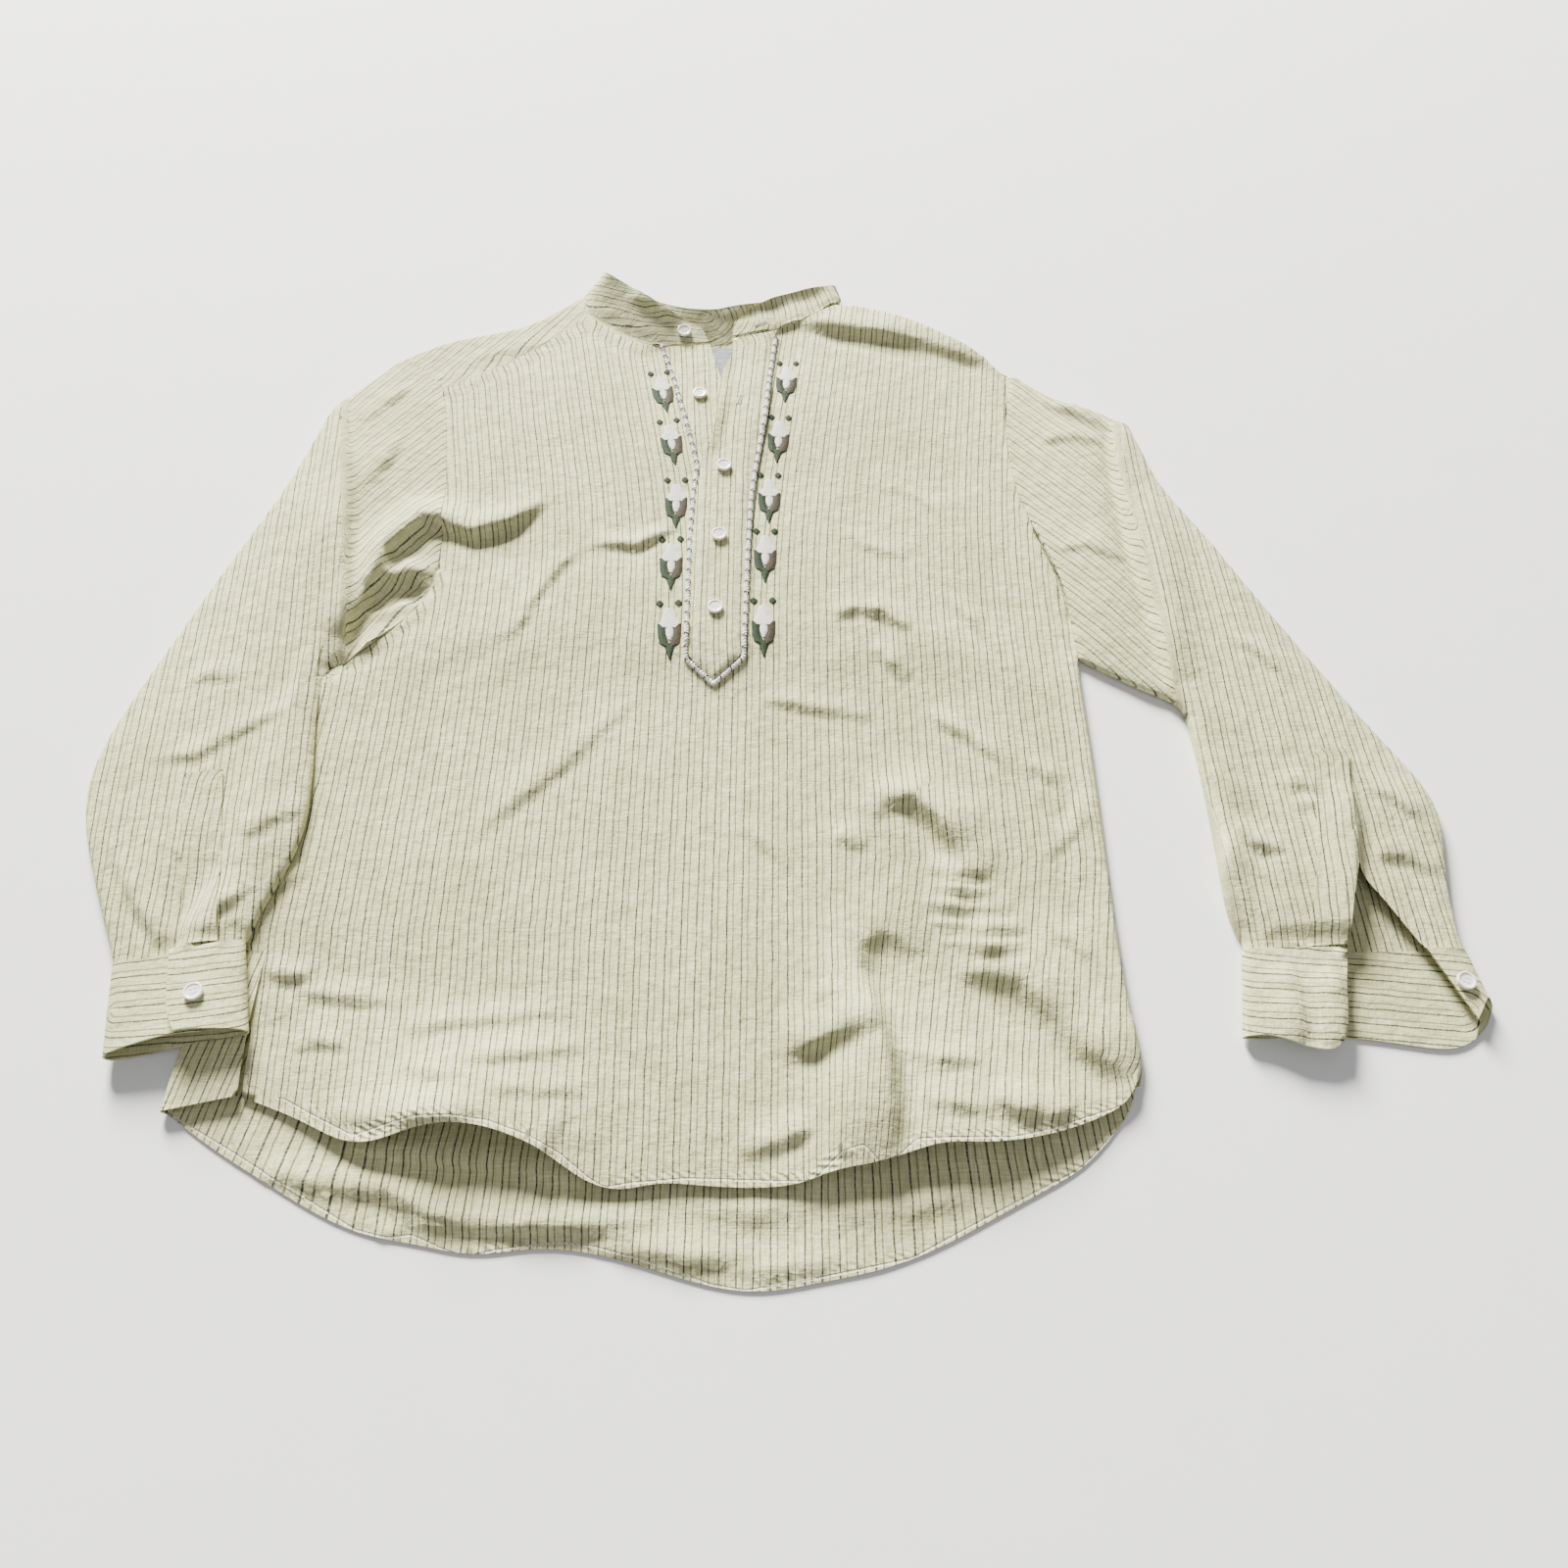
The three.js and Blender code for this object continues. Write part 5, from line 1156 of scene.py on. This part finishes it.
# A tack in millimetres: across the cord and over the cloth. It slants along the cord by half its way across.
TACK_ARCH = [(-2.0, 1.0), (-1.1, 3.2), (0.0, 4.0), (1.1, 3.2), (2.0, 1.0)]
TACK_SLANT = 0.5

cord_paths = []
tack_paths = []
for pixels in (CORD_LEFT, CORD_RIGHT):
    middle = rounded([on_cloth(p) for p in pixels], CORD_STEP)
    heights = [ground(p.x, p.y) for p in middle]
    walked = 0.0
    next_tack = FIRST_TACK
    strands = ([], [])
    for i, (place, height) in enumerate(zip(middle, heights)):
        ahead = (middle[min(i + 1, len(middle) - 1)] - middle[max(i - 1, 0)]).normalized()
        walked += (place - middle[i - 1]).length if i else 0.0
        nearby = heights[max(0, i - 3) : i + 4]
        level = sum(nearby) / len(nearby)
        beside = Vector((-ahead.y, ahead.x))
        for strand, path in enumerate(strands):
            turn = 2 * math.pi * (walked / TWIST_PITCH + strand / 2)
            across = beside * math.cos(turn) * STRAND_RADIUS * 0.9
            rise = level + STRAND_RADIUS * (1.2 + 0.9 * math.sin(turn))
            path.append((place.x + across.x, place.y + across.y, rise))
        if walked > next_tack:
            next_tack += TACK_EVERY
            tack = []
            for out, up in TACK_ARCH:
                way = (beside * out + ahead * out * TACK_SLANT) * MM
                tack.append((place.x + way.x, place.y + way.y, level + up * MM))
            tack_paths.append(tack)
    cord_paths += strands
    print("cord on this side", round(walked, 3), "m")
add_strands("closure_cord", cord_paths, STRAND_RADIUS, WHITE_CORD)
add_strands("cord_tacks", tack_paths, TACK_RADIUS, TACK_THREAD)

# %% [markdown]
# ## Embroidered motifs
#
# Five small motifs run down each side of the closure. Each has two green dots, a white satin-stitched body
# and two legs, green and brown, that meet in a point. They are my own simple shapes. They could be painted on
# the cloth, but satin stitch stands up and shines along its threads. So each shape is filled with threads
# laid side by side, each one arched over the cloth.

# %% Embroidered motifs
MOTIFS_LEFT = [((675, 393), 11), ((684, 443), 9), ((690, 505), 2), ((685, 566), 2), ((683, 633), 3)]
MOTIFS_RIGHT = [((803, 383), -3), ((795, 440), -3), ((785, 500), 0), ((781, 558), 0), ((779, 630), 1)]
THREAD_STEP = 0.62 * MM
THREAD_RADIUS = 0.38 * MM
THREAD_ARCH = [(0.0, -0.2), (0.18, 0.75), (0.5, 1.15), (0.82, 0.75), (1.0, -0.2)]
ARCH_HEIGHT = 1.4
THREAD_SLANT = 0.5
SHORTEST_THREAD = 0.3
MOTIF_WIDTH = 1.15


def stitch_point(centre, turn, across, up, rise):
    """A place on a thread: across and up in millimetres in its own frame, and its rise over the cloth."""
    local = Vector((across, up)) * MM
    local.rotate(turn)
    place = centre + local
    return (place.x, place.y, ground(place.x, place.y) + rise)


def satin(rows, centre, turn):
    """Threads across a shape whose rows give height, left and right in millimetres."""
    paths = []
    top, bottom = rows[0][0], rows[-1][0]
    count = max(2, round(abs(top - bottom) * MM / THREAD_STEP))
    for i in range(count + 1):
        level = top + (bottom - top) * i / count
        left = np.interp(-level, [-r[0] for r in rows], [r[1] for r in rows])
        right = np.interp(-level, [-r[0] for r in rows], [r[2] for r in rows])
        if right - left < SHORTEST_THREAD:
            continue
        path = []
        for share, arch in THREAD_ARCH:
            across = (left + (right - left) * share) * MOTIF_WIDTH
            rise = arch * THREAD_RADIUS * ARCH_HEIGHT
            path.append(stitch_point(centre, turn, across, level - THREAD_SLANT * share, rise))
        paths.append(path)
    return paths


DOT = [(2.3, -0.9, 0.9), (1.2, -2.0, 2.0), (0.0, -2.4, 2.4), (-1.2, -2.0, 2.0), (-2.3, -0.9, 0.9)]
BODY = [(10.5, -2.0, 2.0), (8.0, -3.4, 3.4), (2.0, -4.0, 4.0), (-2.0, -6.4, 6.4), (-6.0, -6.0, 6.0)]
HEART = [(-6.0, -2.2, 2.2), (-12.0, -2.4, 2.4), (-17.0, -0.8, 0.8)]
LEG = [(-3.5, -7.4, -6.0), (-7.0, -7.4, -2.6), (-14.0, -7.2, -2.2), (-21.0, -6.0, -0.1), (-23.0, -3.2, -0.1)]
FOOT = [(-20.5, -2.8, 2.8), (-24.0, -2.9, 2.9), (-29.0, -1.6, 1.6), (-33.5, -0.3, 0.3)]


def shifted(rows, x, y, flip=1):
    """A shape moved by x and y, and mirrored where flip is -1."""
    moved = [(r[0] + y, flip * r[1] + x, flip * r[2] + x) for r in rows]
    return [(r[0], min(r[1:]), max(r[1:])) for r in moved]


white_paths, green_paths, brown_paths = [], [], []
for pixel, tilt in MOTIFS_LEFT + MOTIFS_RIGHT:
    centre = on_cloth(pixel)
    turn = Matrix.Rotation(math.radians(tilt), 2)
    for flip in (-1, 1):
        green_paths += satin(shifted(DOT, 6.0 * flip, 15.5), centre, turn)
    white_paths += satin(BODY, centre, turn) + satin(HEART, centre, turn)
    green_paths += satin(LEG, centre, turn) + satin(FOOT, centre, turn)
    brown_paths += satin(shifted(LEG, 0, 0, -1), centre, turn)
add_strands("motif_white", white_paths, THREAD_RADIUS, WHITE_FLOSS)
add_strands("motif_green", green_paths, THREAD_RADIUS, GREEN_FLOSS)
add_strands("motif_brown", brown_paths, THREAD_RADIUS, BROWN_FLOSS)

# %% [markdown]
# ## Buttonholes
#
# The overlap and the collar end have worked buttonholes, where the two top buttons are undone. Short stitches
# stand side by side along both lips of each hole, and a thin dark strand laid between them is painted shade
# of the slit.

# %% Buttonholes
BUTTONHOLES = [((755, 407), 78.0), ((776, 330), 30.0)]
LIP_STITCHES = 13
LIP_STEP = 0.95
LIP_ARCH = [(0.35, 0.25), (1.0, 0.65), (1.7, 0.05)]
LIP_THREAD = 0.3 * MM
SLIT_POINTS = 9
SLIT_STEP = 1.4
SLIT_RISE = 0.05 * MM
SLIT_SHADE_RADIUS = 0.22 * MM
hole_paths = []
slit_shade_paths = []
for pixel, angle in BUTTONHOLES:
    centre = on_cloth(pixel)
    turn = Matrix.Rotation(math.radians(angle), 2)
    for i in range(LIP_STITCHES):
        across = (i - LIP_STITCHES // 2) * LIP_STEP
        for side in (-1, 1):
            path = [stitch_point(centre, turn, across, side * out, rise * MM) for out, rise in LIP_ARCH]
            hole_paths.append(path)
    # Painted shade: a thin dark strand along each slit stands for the shade in its opening.
    steps = [(i - SLIT_POINTS // 2) * SLIT_STEP for i in range(SLIT_POINTS)]
    slit_shade_paths.append([stitch_point(centre, turn, across, 0.0, SLIT_RISE) for across in steps])
add_strands("buttonhole_stitches", hole_paths, LIP_THREAD, WHITE_FLOSS)
add_strands("buttonhole_slits", slit_shade_paths, SLIT_SHADE_RADIUS, TACK_THREAD)

# %% [markdown]
# ## Buttons
#
# Each button is a small disc of shell with a raised rim, a dished middle and four holes, sewn on with white
# thread. One is modelled from a cylinder, as a turner would cut it from a blank: the face is inset twice for
# the rim and the dish, the edges are bevelled, and four holes are drilled. A copy is laid in the plane of
# each CAD button.

# %% Buttons
BUTTON_NAMES = [n for n in NODES if n.startswith("button_")]
BUTTON_RADIUS = 5.72 * MM
BUTTON_HALF = 1.15 * MM
HOLE_RADIUS = 0.75 * MM
HOLE_OFFSET = 1.35 * MM
RIM_WIDTH = 1.1 * MM
DISH_WIDTH = 0.7 * MM
DISH_DEPTH = 0.55 * MM
EDGE_ROUNDING = 0.3 * MM
SMOOTH_ANGLE = math.radians(40)


def make_button():
    """A shell button that lies level, with its middle at the origin."""
    bpy.ops.mesh.primitive_cylinder_add(vertices=48, radius=BUTTON_RADIUS, depth=2 * BUTTON_HALF)
    button = bpy.context.object
    bpy.ops.object.mode_set(mode="EDIT")
    bpy.ops.mesh.select_mode(type="FACE")
    bpy.ops.mesh.select_all(action="DESELECT")
    bpy.ops.object.mode_set(mode="OBJECT")
    for face in button.data.polygons:
        face.select = face.normal.z > 0.9
    bpy.ops.object.mode_set(mode="EDIT")
    bpy.ops.mesh.inset(thickness=RIM_WIDTH)
    bpy.ops.mesh.inset(thickness=DISH_WIDTH, depth=-DISH_DEPTH)
    bpy.ops.mesh.select_all(action="SELECT")
    bpy.ops.object.mode_set(mode="OBJECT")
    rounding = button.modifiers.new("rounding", "BEVEL")
    rounding.width = EDGE_ROUNDING
    rounding.segments = 3
    rounding.limit_method = "ANGLE"
    bpy.ops.object.modifier_apply(modifier="rounding")
    for x, y in ((1, 1), (1, -1), (-1, 1), (-1, -1)):
        bpy.ops.mesh.primitive_cylinder_add(
            vertices=16,
            radius=HOLE_RADIUS,
            depth=4 * BUTTON_HALF,
            location=(x * HOLE_OFFSET, y * HOLE_OFFSET, 0),
        )
        drill = bpy.context.object
        select_only(button)
        hole = button.modifiers.new("hole", "BOOLEAN")
        hole.object = drill
        hole.operation = "DIFFERENCE"
        bpy.ops.object.modifier_apply(modifier="hole")
        bpy.data.objects.remove(drill)
    bpy.ops.object.shade_smooth_by_angle(angle=SMOOTH_ANGLE)
    button.data.materials.append(SHELL)
    return button


button_model = make_button()
print("button faces", len(button_model.data.polygons))

# %% [markdown]
# ## Thread of a button
#
# Two bars of white thread cross the dish, each over a pair of holes and each of two strands side by side.
# Their ends bend down into the holes.

# %% Thread of a button
BAR_RADIUS = 0.26 * MM
BAR_GAP = 0.22 * MM
BAR_HALF_LENGTH = HOLE_OFFSET + 0.45 * MM
BAR_SINK = 0.30 * MM
BEND_FROM = 0.6
BEND_DEPTH = 0.9 * MM


def make_button_thread():
    """Two bars of thread, each over a pair of holes."""
    strands = []
    for side in (-1, 1):
        for strand in (-1, 1):
            beside = side * HOLE_OFFSET + strand * BAR_GAP
            bpy.ops.mesh.primitive_cylinder_add(
                vertices=10,
                radius=BAR_RADIUS,
                depth=2 * BAR_HALF_LENGTH,
                location=(0, beside, BUTTON_HALF - BAR_SINK),
                rotation=(0, math.pi / 2, 0),
            )
            strand_object = bpy.context.object
            bpy.ops.object.transform_apply(location=True, rotation=True, scale=True)
            for vertex in strand_object.data.vertices:
                reach = abs(vertex.co.x) / BAR_HALF_LENGTH
                vertex.co.z -= BEND_DEPTH * max(0.0, reach - BEND_FROM)
            strands.append(strand_object)
    select_only(strands[0])
    for strand_object in strands:
        strand_object.select_set(True)
    bpy.ops.object.join()
    thread = bpy.context.object
    thread.data.materials.append(WHITE_FLOSS)
    return thread


thread_model = make_button_thread()
print("thread faces", len(thread_model.data.polygons))

# %% [markdown]
# ## Laying the buttons
#
# A CAD button is a flat disc that leans with the cloth. The direction in which its points spread least is its
# own axis, so the model is turned to that, and by a random angle about it, as sewn buttons are.

# %% Laying the buttons
def plane_of(source):
    """The middle of a flat node, and the turn that lays a level disc in its plane."""
    points = points_of(source)
    centre = points.mean(axis=0)
    axes = np.linalg.eigh(np.cov((points - centre).T))[1]
    normal = Vector(axes[:, 0])
    if normal.z < 0:
        normal = -normal
    return Vector(centre), normal.to_track_quat("Z", "Y").to_matrix().to_4x4()


for name in BUTTON_NAMES:
    centre, turn = plane_of(NODES[name])
    turn = Matrix.Translation(centre) @ turn @ Matrix.Rotation(random.Random(name).uniform(0, 3), 4, "Z")
    for model, suffix in ((button_model, "_shell"), (thread_model, "_thread")):
        mesh = model.data.copy()
        mesh.transform(turn)
        piece = bpy.data.objects.new(name + suffix, mesh)
        bpy.context.scene.collection.objects.link(piece)
        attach(piece, "root")
        if suffix == "_shell":
            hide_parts(name)
bpy.data.objects.remove(button_model)
bpy.data.objects.remove(thread_model)
print("buttons", len(BUTTON_NAMES))

# %% [markdown]
# ## Size and finish
#
# The dressed garment keeps the size of the CAD model. At the end the scene is brought up to date.

# %% Size and finish
bpy.context.view_layer.update()
